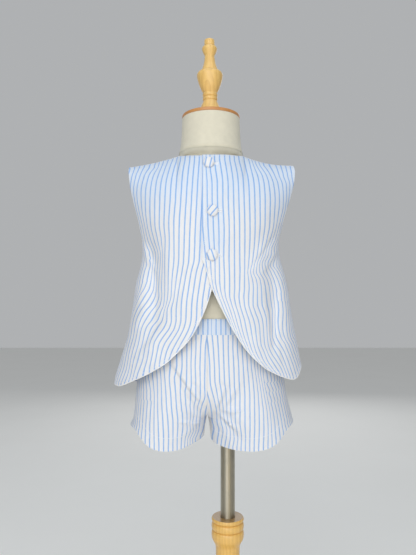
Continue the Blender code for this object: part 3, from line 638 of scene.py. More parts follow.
def lap_lift(points, side):
    """Stand the upper back panel off the under one near the centre."""
    reach = points[..., 0] * side
    t = np.clip((reach - LAP - LAP_BLEND[0]) / LAP_BLEND[1], 0, 1)
    amount = LAP_LIFT * (1 - t * t * (3 - 2 * t))
    rise = np.clip((points[..., 2] - CHEST_Z) / 50, 0, 1)
    rise = 0.45 * rise * rise * (3 - 2 * rise)
    size = np.sqrt(1 + rise ** 2)
    points[..., 1] -= amount / size
    points[..., 2] += amount * rise / size
    return points


def normals(points, outward):
    """Unit normals of a grid of points, turned towards outward."""
    along = np.gradient(points, axis=1)
    up = np.gradient(points, axis=0)
    normal = np.cross(along, up)
    normal /= np.maximum(np.linalg.norm(normal, axis=2, keepdims=True), 1e-9)
    middle = normal[points.shape[0] // 3, points.shape[1] // 2]
    return -normal if np.dot(middle, outward) < 0 else normal


def wrinkle(points, folds, side, outward, edge_fade):
    """Move a grid along its normals by its fine folds and small uneven wrinkles."""
    normal = normals(points, outward)
    height = settings().wrinkle / MM
    move = np.zeros(points.shape[:2])
    for j in range(points.shape[0]):
        for i in range(points.shape[1]):
            x, y, z = points[j, i]
            spot = Vector((x / WRINKLE_SIZE[0], (2.0 if y > 0 else 0.0), z / WRINKLE_SIZE[1]))
            move[j, i] = height * (noise.noise(spot) + 0.45 * noise.noise(spot * 2.3))
            if folds:
                move[j, i] += fold_height(folds, side, abs(x), z)
    return points + normal * (move * edge_fade)[..., None]


def fade_rows(count_y, count_x, left, right, top):
    """A mask over a grid, 0 at each named edge and 1 inside; each value is the number of rows it takes."""
    mask = np.ones((count_y, count_x))
    for size, axis, flip in ((left, 1, False), (right, 1, True), (top, 0, True)):
        if not size:
            continue
        count = count_x if axis else count_y
        ramp = np.clip(np.arange(count) / size, 0, 1)
        ramp = ramp * ramp * (3 - 2 * ramp)
        if flip:
            ramp = ramp[::-1]
        mask *= ramp[None, :] if axis else ramp[:, None]
    return mask


def warp_lengths(points, zero):
    """Length across the cloth from column zero, measured level along the sheet."""
    normal = normals(points, (0, 0, 0))
    up = np.array([0.0, 0.0, 1.0]) - normal * normal[..., 2:3]
    up /= np.maximum(np.linalg.norm(up, axis=2, keepdims=True), 1e-9)
    step = np.diff(points, axis=1)
    direction = (up[:, 1:] + up[:, :-1]) / 2
    flat = step - direction * np.sum(step * direction, axis=2, keepdims=True)
    size = np.linalg.norm(flat, axis=2)
    total = np.concatenate([np.zeros((points.shape[0], 1)), np.cumsum(size, axis=1)], axis=1)
    return total - total[:, zero:zero + 1]


def grain_lengths(points, table, side):
    """Stripe lengths read between the lines of a table, and counted level along the sheet past its ends."""
    pitch = settings().stripe_pitch / MM
    counts = np.array([row[0] for row in table], float)
    reads = [reader(row[1]) for row in table]
    run = warp_lengths(points, 0) / pitch
    out = np.zeros(points.shape[:2])
    for j in range(points.shape[0]):
        inside = []
        for i in range(points.shape[1]):
            x, z = points[j, i, 0] * side, points[j, i, 2]
            lines = np.array([read(z) for read in reads])
            for k in range(1, len(lines)):
                lines[k] = max(lines[k], lines[k - 1] + 1.0)
            inside.append(x <= lines[-1])
            out[j, i] = reader(list(zip(lines, counts)))(x) - max(lines[0] - x, 0) / pitch
        last = max((i for i, within in enumerate(inside) if within), default=0)
        out[j, last + 1:] = out[j, last] + (run[j, last + 1:] - run[j, last])
    return out * pitch


def weft_lengths(points):
    """Length up the cloth from the bottom row."""
    size = np.linalg.norm(np.diff(points, axis=0), axis=2)
    return np.concatenate([np.zeros((1, points.shape[1])), np.cumsum(size, axis=0)], axis=0)


def cloth_sheet(name, points, stripes, outward, material, centre_side=0):
    """A closed sheet of cloth on a grid of points in millimetres, with its stripe lengths as a UV map.

    It stays on its own side of the side seams, and with centre_side, on that side of the centre seam.
    """
    normal = normals(points, outward)
    face = math.copysign(1, outward[1])
    layers = []
    for share in (0.5, -0.5):
        layer = points + normal * CLOTH_FINE * share
        layer[..., 1] = face * np.maximum(layer[..., 1] * face, SEAM)
        if centre_side:
            lean = points[:, :1, 0] - centre_side * seam_standoff(points[:, :1, 2])
            reach = (layer[..., 0] - lean) * centre_side
            layer[..., 0] = lean + centre_side * np.maximum(reach, SEAM)
        layers.append(layer)
    count_y, count_x = points.shape[:2]
    size = count_x * count_y
    verts = np.concatenate([layer.reshape(-1, 3) for layer in layers])
    a = (np.arange(count_y - 1)[:, None] * count_x + np.arange(count_x - 1)[None, :]).ravel()
    outer = np.stack([a, a + 1, a + count_x + 1, a + count_x], axis=1)
    inner = outer[:, ::-1] + size
    rim = list(range(count_x))
    rim += [j * count_x + count_x - 1 for j in range(1, count_y)]
    rim += [(count_y - 1) * count_x + i for i in range(count_x - 2, -1, -1)]
    rim += [j * count_x for j in range(count_y - 2, 0, -1)]
    edge = np.array([(rim[(k + 1) % len(rim)], v, size + v, size + rim[(k + 1) % len(rim)])
                     for k, v in enumerate(rim)])
    faces = np.concatenate([outer, inner, edge])
    obj = mesh_object(name, verts, faces.tolist(), material)
    lengths = np.stack([stripes, weft_lengths(points)], axis=2).reshape(-1, 2) / CM
    lengths = np.concatenate([lengths, lengths])
    cloth_map = obj.data.uv_layers.new(name="cloth")
    loops = np.zeros(len(obj.data.loops), dtype=np.int32)
    obj.data.loops.foreach_get("vertex_index", loops)
    cloth_map.data.foreach_set("uv", lengths[loops].astype(np.float32).ravel())
    return obj


def mesh_object(name, verts, faces, material, place=True):
    """A smooth shaded mesh object from millimetre points, in the figure's place."""
    mesh = bpy.data.meshes.new(name)
    shift = np.array([FIGURE_X if place else 0.0, 0, 0])
    mesh.from_pydata(((np.asarray(verts, float) + shift) * MM).tolist(), [], faces)
    work = bmesh.new()
    work.from_mesh(mesh)
    bmesh.ops.recalc_face_normals(work, faces=work.faces)
    work.to_mesh(mesh)
    work.free()
    mesh.shade_smooth()
    mesh.set_sharp_from_angle(angle=CLOTH_CREASE)
    obj = bpy.data.objects.new(name, mesh)
    bpy.context.scene.collection.objects.link(obj)
    mesh.materials.append(material)
    return obj


def finish_piece(obj, slot, *nodes):
    """Ride on the one body and stand for the CAD nodes it covers, which it hides; the slot argument is not
    used.
    """
    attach(obj, BODY)
    if nodes:
        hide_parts(*nodes)


class NodeTree:
    """Short calls for building the node tree of a material, or of an owner passed in."""

    def __init__(self, name, owner=None):
        self.material = owner or bpy.data.materials.new(name)
        self.material.use_nodes = True
        self.tree = self.material.node_tree
        self.shader = self.tree.nodes.get("Principled BSDF")

    def add(self, kind, **values):
        """A node with its properties and input defaults set by name."""
        node = self.tree.nodes.new(kind)
        for key, value in values.items():
            setattr(node, key, value)
        return node

    def link(self, source, target):
        """Join an output to an input."""
        self.tree.links.new(source, target)

    def place(self):
        """The socket of the object's own coordinates."""
        return self.add("ShaderNodeTexCoord").outputs["Object"]

    def split(self, vector):
        """The three parts of a vector socket."""
        node = self.add("ShaderNodeSeparateXYZ")
        self.link(vector, node.inputs[0])
        return node.outputs

    def mapped(self, vector, **values):
        """A vector socket moved or stretched by a mapping node's named inputs."""
        node = self.add("ShaderNodeMapping")
        for key, value in values.items():
            node.inputs[key].default_value = value
        self.link(vector, node.inputs["Vector"])
        return node.outputs[0]

    def math(self, operation, first, second=None):
        """A math node fed by sockets or numbers."""
        node = self.add("ShaderNodeMath", operation=operation)
        for slot, value in enumerate((first, second)):
            if value is None:
                continue
            if isinstance(value, (int, float)):
                node.inputs[slot].default_value = value
            else:
                self.link(value, node.inputs[slot])
        return node.outputs[0]

    def noise(self, vector, scale, detail=2.0, rough=0.5):
        """A noise factor from a vector socket."""
        node = self.add("ShaderNodeTexNoise")
        node.inputs["Scale"].default_value = scale
        node.inputs["Detail"].default_value = detail
        node.inputs["Roughness"].default_value = rough
        self.link(vector, node.inputs["Vector"])
        return node.outputs["Fac"]

    def span(self, value, low, high, out_low, out_high, smooth=False):
        """Map a value from one range to another, clamped."""
        node = self.add("ShaderNodeMapRange")
        if smooth:
            node.interpolation_type = "SMOOTHSTEP"
        for slot, number in zip((1, 2, 3, 4), (low, high, out_low, out_high)):
            node.inputs[slot].default_value = number
        self.link(value, node.inputs[0])
        return node.outputs[0]

    def mix(self, factor, first, second, blend="MIX"):
        """Mix two colours."""
        node = self.add("ShaderNodeMix", data_type="RGBA", blend_type=blend)
        if isinstance(factor, (int, float)):
            node.inputs[0].default_value = factor
        else:
            self.link(factor, node.inputs[0])
        for slot, value in ((6, first), (7, second)):
            if isinstance(value, tuple):
                node.inputs[slot].default_value = (*value, 1.0)
            else:
                self.link(value, node.inputs[slot])
        return node.outputs[2]

    def bump(self, height, strength, distance, normal=None):
        """A bump normal from a height socket."""
        node = self.add("ShaderNodeBump")
        node.inputs["Strength"].default_value = strength
        node.inputs["Distance"].default_value = distance
        self.link(height, node.inputs["Height"])
        if normal is not None:
            self.link(normal, node.inputs["Normal"])
        return node.outputs["Normal"]

    def surface(self, **values):
        """Set or link the shader's inputs by name."""
        for key, value in values.items():
            socket = self.shader.inputs[key.replace("_", " ")]
            if isinstance(value, (int, float, tuple)):
                socket.default_value = value
            else:
                self.link(value, socket)
        return self.material


def tinted(colour, tint):
    """A colour with each channel scaled, by one factor or by three."""
    factors = tint if isinstance(tint, tuple) else (tint, tint, tint)
    return tuple(c * f for c, f in zip(colour, factors))


def poplin(name, phase=0.5, turn=0.0, double="none"):
    """Woven cotton with blue stripes along the warp; phase shifts them, turn slants them.

    Where the cloth is double, a second striped layer shows through as a faint blue: all over a band, and on
    the top's yoke and button lap.
    """
    found = bpy.data.materials.get(name)
    if found:
        return found
    own = settings()
    pitch = own.stripe_pitch / MM / CM
    half = own.stripe_width / own.stripe_pitch / 2
    tree = NodeTree(name)
    uv = tree.add("ShaderNodeUVMap", uv_map="cloth").outputs[0]
    rotate = tree.add("ShaderNodeVectorRotate", rotation_type="Z_AXIS")
    rotate.inputs["Angle"].default_value = math.radians(turn)
    tree.link(uv, rotate.inputs["Vector"])
    turned = rotate.outputs[0]
    across_cloth, up_cloth, _ = tree.split(turned)
    waver = tree.noise(turned, 1.6, 2.0)
    u = tree.math("ADD", across_cloth, tree.math("MULTIPLY", tree.math("SUBTRACT", waver, 0.5), 0.05))
    count = tree.math("ADD", tree.math("DIVIDE", u, pitch), phase)
    away = tree.math("ABSOLUTE", tree.math("SUBTRACT", tree.math("FRACT", count), 0.5))
    line = tree.span(away, half * 0.62, half * 1.3, 1.0, 0.0, smooth=True)
    # Single threads darken and lighten the yarns a little.
    warp = tree.math("SINE", tree.math("MULTIPLY", across_cloth, 2 * math.pi / WARP_STEP))
    weft = tree.math("SINE", tree.math("MULTIPLY", up_cloth, 2 * math.pi / WEFT_STEP))
    slub = tree.noise(tree.mapped(turned, Scale=(30.0, 1.2, 1.0)), 1.0)
    line = tree.math("MULTIPLY", line, tree.span(slub, 0.3, 0.7, 0.80, 1.0))
    single = tuple(own.ground)
    lined = tinted(own.ground, LINED_TINT)
    if double == "top":
        x, _, z = tree.split(tree.place())
        yoke = tree.span(z, *YOKE_TINT_Z, 0.0, 1.0, smooth=True)
        beside = tree.math("ABSOLUTE", tree.math("ADD", x, -FIGURE_X * MM))
        lap = tree.math("MULTIPLY", tree.span(beside, *LAP_TINT_X, 0.7, 0.0, smooth=True),
                        tree.span(z, *LAP_TINT_Z, 0.0, 1.0, smooth=True))
        ground = tree.mix(tree.math("MAXIMUM", yoke, lap), single, lined)
    else:
        ground = tree.mix(1.0 if double == "all" else 0.0, single, lined)
    ground = tree.mix(tree.span(slub, 0.35, 0.65, 0.0, 0.05), ground, (0.0, 0.0, 0.0))
    colour = tree.mix(line, ground, tuple(own.stripe))
    shade = tree.span(tree.math("MULTIPLY", warp, weft), -1, 1, 0.97, 1.0)
    grey = tree.add("ShaderNodeCombineColor")
    for channel in range(3):
        tree.link(shade, grey.inputs[channel])
    colour = tree.mix(1.0, colour, grey.outputs[0], "MULTIPLY")
    puckers = tree.noise(uv, 0.9, 3.0, 0.55)
    first = tree.bump(puckers, 0.35, 0.0012)
    weave = tree.math("ADD", warp, weft)
    normal = tree.bump(weave, 0.12, 0.00008, first)
    return tree.surface(Base_Color=colour, Roughness=0.88, Sheen_Weight=0.12, Sheen_Roughness=0.5,
                        Normal=normal)


def plain_cotton(name, colour):
    """White cotton of turned edges and thread."""
    found = bpy.data.materials.get(name)
    if found:
        return found
    tree = NodeTree(name)
    twist = tree.noise(tree.place(), 2600.0, 2.0)
    shade = tree.mix(tree.span(twist, 0.35, 0.65, 0.0, 1.0), colour, tinted(colour, 0.88))
    return tree.surface(Base_Color=shade, Roughness=0.8, Sheen_Weight=0.1,
                        Normal=tree.bump(twist, 0.25, 0.0002))


def canvas():
    """Off-white canvas with a plain coarse weave and faint slubs."""
    found = bpy.data.materials.get("canvas_cover")
    if found:
        return found
    tree = NodeTree("canvas_cover")
    place = tree.place()
    x, y, z = tree.split(place)
    around = tree.math("ARCTAN2", x, y)
    warp = tree.math("SINE", tree.math("MULTIPLY", around, CANVAS_WARPS))
    weft = tree.math("SINE", tree.math("MULTIPLY", z, 2 * math.pi / CANVAS_WEFT_STEP))
    weave = tree.math("MULTIPLY", warp, weft)
    slub = tree.noise(place, 90.0, 4.0, 0.6)
    tone = tuple(settings().canvas)
    colour = tree.mix(tree.span(slub, 0.35, 0.7, 0.0, 0.7), tone, tinted(tone, 0.90))
    colour = tree.mix(tree.span(weave, -1, 1, 0.0, 0.14), colour, tinted(tone, 0.7))
    first = tree.bump(slub, 0.15, 0.0006)
    normal = tree.bump(weave, 0.25, 0.00015, first)
    return tree.surface(Base_Color=colour, Roughness=0.93, Sheen_Weight=0.15, Normal=normal)


def turned_wood(name, tone, gloss, coat=0.35):
    """Varnished wood with long grain along its length and growth rings across."""
    found = bpy.data.materials.get(name)
    if found:
        return found
    tree = NodeTree(name)
    along = tree.mapped(tree.place(), Scale=(1.0, 1.0, 0.085))
    bend = tree.noise(along, 60.0, 2.0)
    rings = tree.add("ShaderNodeTexWave", wave_type="RINGS", rings_direction="Z", wave_profile="SAW")
    rings.inputs["Scale"].default_value = 62.0
    rings.inputs["Distortion"].default_value = 3.2
    rings.inputs["Detail"].default_value = 2.0
    tree.link(tree.mapped(along, Location=(0.031, 0.012, 0.0)), rings.inputs["Vector"])
    pores = tree.noise(along, 1500.0, 3.0, 0.6)
    light = tuple(min(c * 1.12, 1.0) for c in tone)
    dark = tinted(tone, DARK_GRAIN_TINT)
    grain = tree.mix(tree.span(rings.outputs["Fac"], 0.1, 1.0, 0.0, 0.38, smooth=True), light, dark)
    cloud = tree.mix(tree.span(bend, 0.35, 0.65, 0.0, 0.35), grain, tone)
    colour = tree.mix(tree.span(pores, 0.52, 0.72, 0.0, 0.25), cloud, tinted(tone, 0.5))
    normal = tree.bump(pores, 0.12, 0.0002)
    rough = tree.span(pores, 0.3, 0.7, gloss, gloss + 0.12)
    return tree.surface(Base_Color=colour, Roughness=rough, Coat_Weight=coat, Coat_Roughness=0.22,
                        Normal=normal)


def steel():
    """Polished tube with fine lengthwise drawing marks; its colour has painted reflections in tan and darker
    lengthwise streaks.
    """
    tree = NodeTree("polished_tube")
    place = tree.place()
    along = tree.mapped(place, Scale=(1.0, 1.0, 0.01))
    marks = tree.noise(along, 1800.0, 3.0)
    painted_reflection_streaks = tree.noise(along, 230.0, 2.0)
    smudge = tree.noise(place, 70.0, 3.0)
    rough = tree.math("ADD", tree.span(marks, 0.3, 0.7, 0.30, 0.38), tree.span(smudge, 0.4, 0.7, 0.0, 0.05))
    # Painted reflection: tan and darker lengthwise streaks stand in for the floor and room that the tube
    # reflects.
    colour = tree.mix(tree.span(painted_reflection_streaks, 0.38, 0.62, 0.0, 1.0), (0.54, 0.51, 0.43), (0.40, 0.35, 0.25))
    colour = tree.mix(tree.span(smudge, 0.45, 0.7, 0.0, 0.4), colour, (0.36, 0.34, 0.28))
    # Polished round and round, so it spreads reflections up and down the tube.
    return tree.surface(Base_Color=colour, Metallic=1.0, Roughness=rough, Anisotropic=0.92,
                        Anisotropic_Rotation=0.25, Normal=tree.bump(marks, 0.04, 0.0001),
                        Tangent=tree.add("ShaderNodeTangent", direction_type="RADIAL", axis="Z").outputs[0])


def ring_faces(rings, sides, closed=False):
    """Quads between successive rings of vertices, and from the last back to the first where closed."""
    faces = []
    for j in range(rings if closed else rings - 1):
        m = (j + 1) % rings
        for i in range(sides):
            k = (i + 1) % sides
            faces.append((j * sides + i, j * sides + k, m * sides + k, m * sides + i))
    return faces


def end_faces(rings, sides):
    """The two flat ends of a stack of rings."""
    last = (rings - 1) * sides
    return [tuple(reversed(range(sides))), tuple(range(last, last + sides))]


def oval(width, depth, power, angle):
    """A point of a superellipse at one angle."""
    c, s = math.cos(angle), math.sin(angle)
    return (width * math.copysign(abs(c) ** (2 / power), c), depth * math.copysign(abs(s) ** (2 / power), s))


def turned_piece(name, profile, material, segments, place=True, bore=None, top=None):
    """A turned solid from (radius, height) points, rounded between them by a smooth curve.

    It can be bored from its top down to a height, and its top face can have a material of its own.
    """
    outline = round_profile(profile)
    rim = profile[-1][1]
    if bore:
        outline += [(BORE_RADIUS + BORE_EDGE, rim), (BORE_RADIUS, rim - BORE_EDGE), (BORE_RADIUS, bore)]
    verts = []
    for radius, z in outline:
        for i in range(segments):
            angle = 2 * math.pi * i / segments
            verts.append((radius * math.cos(angle), radius * math.sin(angle), z))
    faces = ring_faces(len(outline), segments) + end_faces(len(outline), segments)
    obj = mesh_object(name, verts, faces, material, place)
    obj.data.set_sharp_from_angle(angle=TURNED_CREASE)
    if top:
        obj.data.materials.append(top)
        for face in obj.data.polygons:
            if face.normal.z > 0.9 and face.center.z > (rim - 0.3) * MM:
                face.material_index = 1
    return obj


def round_profile(profile, cuts=4):
    """Extra points on a smooth curve through a turned outline, broken at its crisp corners."""
    sections = [[]]
    for point in profile:
        if point is None:
            sections.append([sections[-1][-1]])
        else:
            sections[-1].append(point)
    out = [tuple(float(value) for value in profile[0])]
    for section in sections:
        points = np.array(section, float)
        for i in range(len(points) - 1):
            before = points[max(i - 1, 0)]
            start, end = points[i], points[i + 1]
            after = points[min(i + 2, len(points) - 1)]
            for step in range(1, cuts + 1):
                t = step / cuts
                spot = 0.5 * (2 * start + (end - before) * t
                              + (2 * before - 5 * start + 4 * end - after) * t ** 2
                              + (3 * start - before - 3 * end + after) * t ** 3)
                out.append((float(spot[0]), float(spot[1])))
    return out


def tube(points, radius, sides, closed=False):
    """Vertices and faces of a round tube along millimetre points."""
    points = np.asarray(points, float)
    count = len(points)
    tangent = np.gradient(points, axis=0)
    tangent /= np.maximum(np.linalg.norm(tangent, axis=1, keepdims=True), 1e-9)
    helper = np.array([0.3, 1.0, 0.2])
    verts = []
    for point, direction in zip(points, tangent):
        one = np.cross(direction, helper)
        one /= max(np.linalg.norm(one), 1e-9)
        two = np.cross(direction, one)
        for i in range(sides):
            angle = 2 * math.pi * i / sides
            verts.append(point + radius * (math.cos(angle) * one + math.sin(angle) * two))
    faces = ring_faces(count, sides, closed)
    if not closed:
        faces += end_faces(count, sides)
    return verts, faces


class Bundle:
    """Many small closed shapes gathered into one mesh."""

    def __init__(self):
        self.verts = []
        self.faces = []

    def add(self, verts, faces):
        """Join one shape."""
        start = len(self.verts)
        self.verts.extend([tuple(v) for v in verts])
        self.faces.extend([tuple(start + v for v in face) for face in faces])


def stitches(bundle, line, lift, long=2.3, gap=0.8, radius=0.24):
    """A row of machine stitches along a line of points and their normals, lifted off the cloth."""
    points = np.asarray(line[0], float)
    out = np.asarray(line[1], float)
    run = running(np.linalg.norm(np.diff(points, axis=0), axis=1))
    at = gap
    while at + long < run[-1]:
        spots = []
        for share, rise in STITCH_ARC:
            where = at + long * share
            spot = [float(np.interp(where, run, points[:, k])) for k in range(3)]
            normal = np.array([float(np.interp(where, run, out[:, k])) for k in range(3)])
            normal /= max(np.linalg.norm(normal), 1e-9)
            spots.append(np.array(spot) + normal * (lift + radius * rise))
        bundle.add(*tube(spots, radius, 5))
        at += long + gap


def inset_line(points, normal, depth, edge):
    """A line on a grid, a set distance in from its bottom row, its top row or its first column (left)."""
    grid = points
    out = normal
    if edge == "left":
        grid = points.transpose(1, 0, 2)
        out = normal.transpose(1, 0, 2)
    elif edge == "top":
        grid = grid[::-1]
        out = out[::-1]
    spots = []
    turns = []
    for i in range(grid.shape[1]):
        column = grid[:, i]
        run = running(np.linalg.norm(np.diff(column, axis=0), axis=1))
        if run[-1] < depth * 1.2:
            continue
        spots.append([float(np.interp(depth, run, column[:, k])) for k in range(3)])
        turns.append([float(np.interp(depth, run, out[:, i, k])) for k in range(3)])
    return np.array(spots), np.array(turns)


def slanted_inset(points, normal, depth):
    """A line beside a slanting bottom edge, moved square to the edge within the sheet."""
    edge = points[0]
    tangent = np.gradient(edge, axis=0)
    tangent /= np.maximum(np.linalg.norm(tangent, axis=1, keepdims=True), 1e-9)
    inward = np.cross(normal[0], tangent)
    up = points[3] - points[0]
    sign = np.sign(np.sum(inward * up, axis=1, keepdims=True))
    sign[sign == 0] = 1
    return edge + inward * sign * depth, normal[0]


# The panels that have been made, by node: grid and normals. The buttons and the stitches are laid on them.
GRIDS = {}


def rolled_hem(name, points, normal):
    """The white turned edge along the bottom row of a panel."""
    radius, lift = HEM_ROLL
    hem = mesh_object(name, *tube(points[0] + normal[0] * lift, radius, 8),
                      plain_cotton("white_edge", WHITE_EDGE))
    finish_piece(hem, "striped_cotton")
    return hem


def make_top_back(side):
    """The grid and stripe lengths of one back panel of the top."""
    lap_count, count = cells(LAP_ACROSS, TOP_ACROSS)
    lap_column = LAP / GRID_X
    columns = list(np.linspace(-lap_column, lap_column, lap_count + 1))
    columns += list(np.linspace(lap_column, 1.0, count))[1:]
    hem = hem_by_column(LEFT_HEM if side < 0 else RIGHT_HEM, side, True)
    points = top_grid(columns, side, True, hem)
    if side > 0:
        points = lap_lift(points, side)
    mask = fade_rows(*points.shape[:2], left=0, right=6, top=4)
    lap = np.clip((np.abs(points[..., 0]) - LAP) / 20, 0.0, 1.0)
    points = wrinkle(points, FINE_FOLDS, side, (0, -1, 0.2), mask * (0.25 + 0.75 * lap))
    name = "top_back_left" if side < 0 else "top_back_right"
    return points, grain_lengths(points, GRAIN[name], side) * side


class SHORTSSET_OT_top_backs(bpy.types.Operator):
    """Make the two back panels of the top, the right lapping over the left, with their rolled hems"""

    bl_idname = "shorts_set.top_backs"
    bl_label = "Top back panels"

    def execute(self, context):
        """Build both panels and the white turned edge of each hem."""
        for side, word, size in ((-1, "left", (0.178, 0.352)), (1, "right", (0.172, 0.345))):
            points, lengths = make_top_back(side)
            name = f"top_back_{word}"
            sheet = cloth_sheet(f"cloth_{name}", points, lengths, (0, -1, 0.2),
                                poplin("top_poplin", double="top"))
            finish_piece(sheet, "striped_cotton", name)
            normal = normals(points, (0, -1, 0.2))
            GRIDS[name] = (points, normal)
            hem = rolled_hem(f"hem_edge_{name}", points, normal)
        return {"FINISHED"}


class SHORTSSET_OT_top_front(bpy.types.Operator):
    """Make the one-piece front of the top"""

    bl_idname = "shorts_set.top_front"
    bl_label = "Top front"

    def execute(self, context):
        """Build the front sheet and its rolled hem."""
        columns = list(np.linspace(0.0, 1.0, *cells(TOP_ACROSS)))
        halves = {}
        for side in (-1, 1):
            drops = reader(FRONT_HEM)
            grid = top_grid(columns, side, False, lambda c, s=side: front_hem(drops, c, s))
            mask = fade_rows(*grid.shape[:2], left=0, right=6, top=4)
            halves[side] = wrinkle(grid, None, side, (0, 1, 0.2), mask)
        points = np.concatenate([halves[-1][:, ::-1], halves[1][:, 1:]], axis=1)
        lengths = warp_lengths(points, len(columns) - 1)
        sheet = cloth_sheet("cloth_top_front", points, lengths, (0, 1, 0.2), poplin("front_poplin"))
        finish_piece(sheet, "striped_cotton", "top_front")
        normal = normals(points, (0, 1, 0.2))
        GRIDS["top_front"] = (points, normal)
        hem = rolled_hem("hem_edge_top_front", points, normal)
        return {"FINISHED"}


def seat_share(z):
    """How far the centre seam has turned from the seat to the inseam at one height."""
    turn = min(max((SEAT_TURN_Z - z) / (SEAT_TURN_Z - CROTCH_Z), 0.0), 1.0)
    return 1 - math.sqrt(1 - turn * turn)


def seam_standoff(z):
    """Distance of the shorts' innermost column from the centre seam or inseam plane by height."""
    turned = np.vectorize(seat_share)(z)
    inner = np.vectorize(INSEAM_READ)(z)
    return np.maximum(inner * turned, SEAM + INSEAM_GAP * turned)


def shorts_point(column, z, side, back):
    """A point of the shorts' middle surface; column runs 0 to 1 from the centre seam to the side seam."""
    width = SHORTS_READ[0 if side < 0 else 1](z)
    depth = SHORTS_READ[2 if back else 3](z)
    turned = seat_share(z)
    turned += (ease((LEG_TURN_Z[0] - z) / (LEG_TURN_Z[0] - LEG_TURN_Z[1])) - turned) * ease(column / 0.45)
    length, xs, ys = quarter_ring(width, depth, SHORTS_POWER)
    reach = column * length[-1]
    quarter = (float(np.interp(reach, length, xs)), float(np.interp(reach, length, ys)))
    inner = INSEAM_READ(z)
    middle = (inner + width) / 2
    length, xs, ys = quarter_ring((width - inner) / 2, depth, SHORTS_POWER)
    reach = abs(2 * column - 1) * length[-1]
    leg_x = middle + math.copysign(float(np.interp(reach, length, xs)), 2 * column - 1)
    leg_y = float(np.interp(reach, length, ys))
    x = quarter[0] * (1 - turned) + leg_x * turned
    y = quarter[1] * (1 - turned) + leg_y * turned
    x = max(x, SEAM + INSEAM_GAP * seat_share(z))
    if back:
        y += fold_height(SHORTS_FOLDS, side, x, z) * ease((1 - column) / 0.12) * ease(column / 0.08)
    drift = SEAM_DRIFT * (1 - column)
    return Vector((x * side + drift, (-1 if back else 1) * (y + SEAM), z))


def leg_hem(side):
    """A reader of leg hem height by column from a table of (x, z)."""
    grid = np.linspace(0, 1, 81)
    points = []
    for x, z in LEG_HEM[side]:
        reach = [abs(shorts_point(column, z, side, False).x) for column in grid]
        points.append((float(np.interp(x, reach, grid)), z))
    points[0] = (0.0, points[0][1])
    points[-1] = (1.0, points[-1][1])
    return reader(points)


def shorts_grid(side, back):
    """Rows of the shorts' middle surface from the leg hem to the waist seam, and its middle column's index.

    The columns stand a little closer together near both seams.
    """
    seat, turn, leg, count = cells(*SHORTS_ROWS, SHORTS_ACROSS)
    columns = [0.5 - 0.5 * math.cos(math.pi * i / count) * 0.35 - 0.325 * (1 - 2 * i / count)
               for i in range(count + 1)]
    hem = leg_hem(side)
    rows = []
    for step in range(leg):
        rows.append([shorts_point(c, hem(c) + (CROTCH_Z - hem(c)) * step / leg, side, back) for c in columns])
    for step in range(turn):
        z = SEAT_TURN_Z - (SEAT_TURN_Z - CROTCH_Z) * math.cos(math.pi / 2 * step / turn)
        rows.append([shorts_point(c, z, side, back) for c in columns])
    for step in range(seat + 1):
        z = SEAT_TURN_Z + (WAIST_Z[0] - 2 * SEAM - SEAT_TURN_Z) * step / seat
        rows.append([shorts_point(c, z, side, back) for c in columns])
    points = np.array([[list(point) for point in row] for row in rows])
    return points, int(np.argmin(np.abs(np.array(columns) - 0.5)))


class SHORTSSET_OT_shorts(bpy.types.Operator):
    """Make the four leg panels of the shorts"""

    bl_idname = "shorts_set.shorts"
    bl_label = "Shorts panels"

    def execute(self, context):
        """Build the panels, their wrinkles and their stripe lengths."""
        for side, word in ((-1, "left"), (1, "right")):
            for back, face in ((True, "back"), (False, "front")):
                name = f"shorts_{face}_{word}"
                outward = (0, -1 if back else 1, 0)
                points, middle = shorts_grid(side, back)
                mask = fade_rows(*points.shape[:2], left=5, right=6, top=4)
                creases = CROTCH_CREASES if back else [(-s, line, half, high) for s, line, half, high
                                                       in CROTCH_CREASES]
                points = wrinkle(points, creases, side, outward, mask)
                if back:
                    lengths = grain_lengths(points, GRAIN[name], side)
                else:
                    lengths = SHORTS_MIDDLE + warp_lengths(points, middle)
                sheet = cloth_sheet(f"cloth_{name}", points, lengths * side, outward, poplin("shorts_poplin"),
                                    side)
                finish_piece(sheet, "striped_cotton", name)
                GRIDS[name] = (points, normals(points, outward))
        return {"FINISHED"}


class SHORTSSET_OT_waistband(bpy.types.Operator):
    """Make the flat waistband"""

    bl_idname = "shorts_set.waistband"
    bl_label = "Waistband"

    def execute(self, context):
        """Build a closed band with rounded upper edge and upright stripes."""
        width, back, front = WAIST_HALF
        count = 240
        low, high = WAIST_Z
        outline = [(0.56, low - 0.8), (0.98, low - 0.6), (0.95, low + 4), (0.8, high - 5), (0.6, high - 0.6),
                   (0.1, high), (-0.35, high - 0.5), (-0.4, low + 0.3), (0.4, low + 0.1)]
        verts = []
        stripe = []
        run = 0.0
        last = None
        for i in range(count + 1):
            angle = 2 * math.pi * i / count - math.pi / 2
            spot = oval(width, front if math.sin(angle) > 0 else back, SHORTS_POWER, angle)
            if last:
                run += math.dist(spot, last)
            last = spot
            stripe.append(run)
            if i == count:
                break
            size = max(math.hypot(*spot), 1e-6)
            for off, z in outline:
                verts.append((spot[0] * (1 + off / size), spot[1] * (1 + off / size), z))
        n = len(outline)
        faces = []
        for i in range(count):
            m = (i + 1) % count
            for j in range(n):
                k = (j + 1) % n
                faces.append((i * n + j, m * n + j, m * n + k, i * n + k))
        band = mesh_object("cloth_shorts_waistband", verts, faces, poplin("band_poplin", double="all"))
        cloth_map = band.data.uv_layers.new(name="cloth")
        for face in band.data.polygons:
            spots = [band.data.loops[k].vertex_index // n for k in face.loop_indices]
            wrap = max(spots) - min(spots) > count / 2
            for k, spot in zip(face.loop_indices, spots):
                u = stripe[count if wrap and spot == 0 else spot]
                vertex = band.data.vertices[band.data.loops[k].vertex_index]
                cloth_map.data[k].uv = (u * WAIST_STRIPES / CM, vertex.co.z / MM / CM)
        finish_piece(band, "striped_cotton", "shorts_waistband")
        return {"FINISHED"}


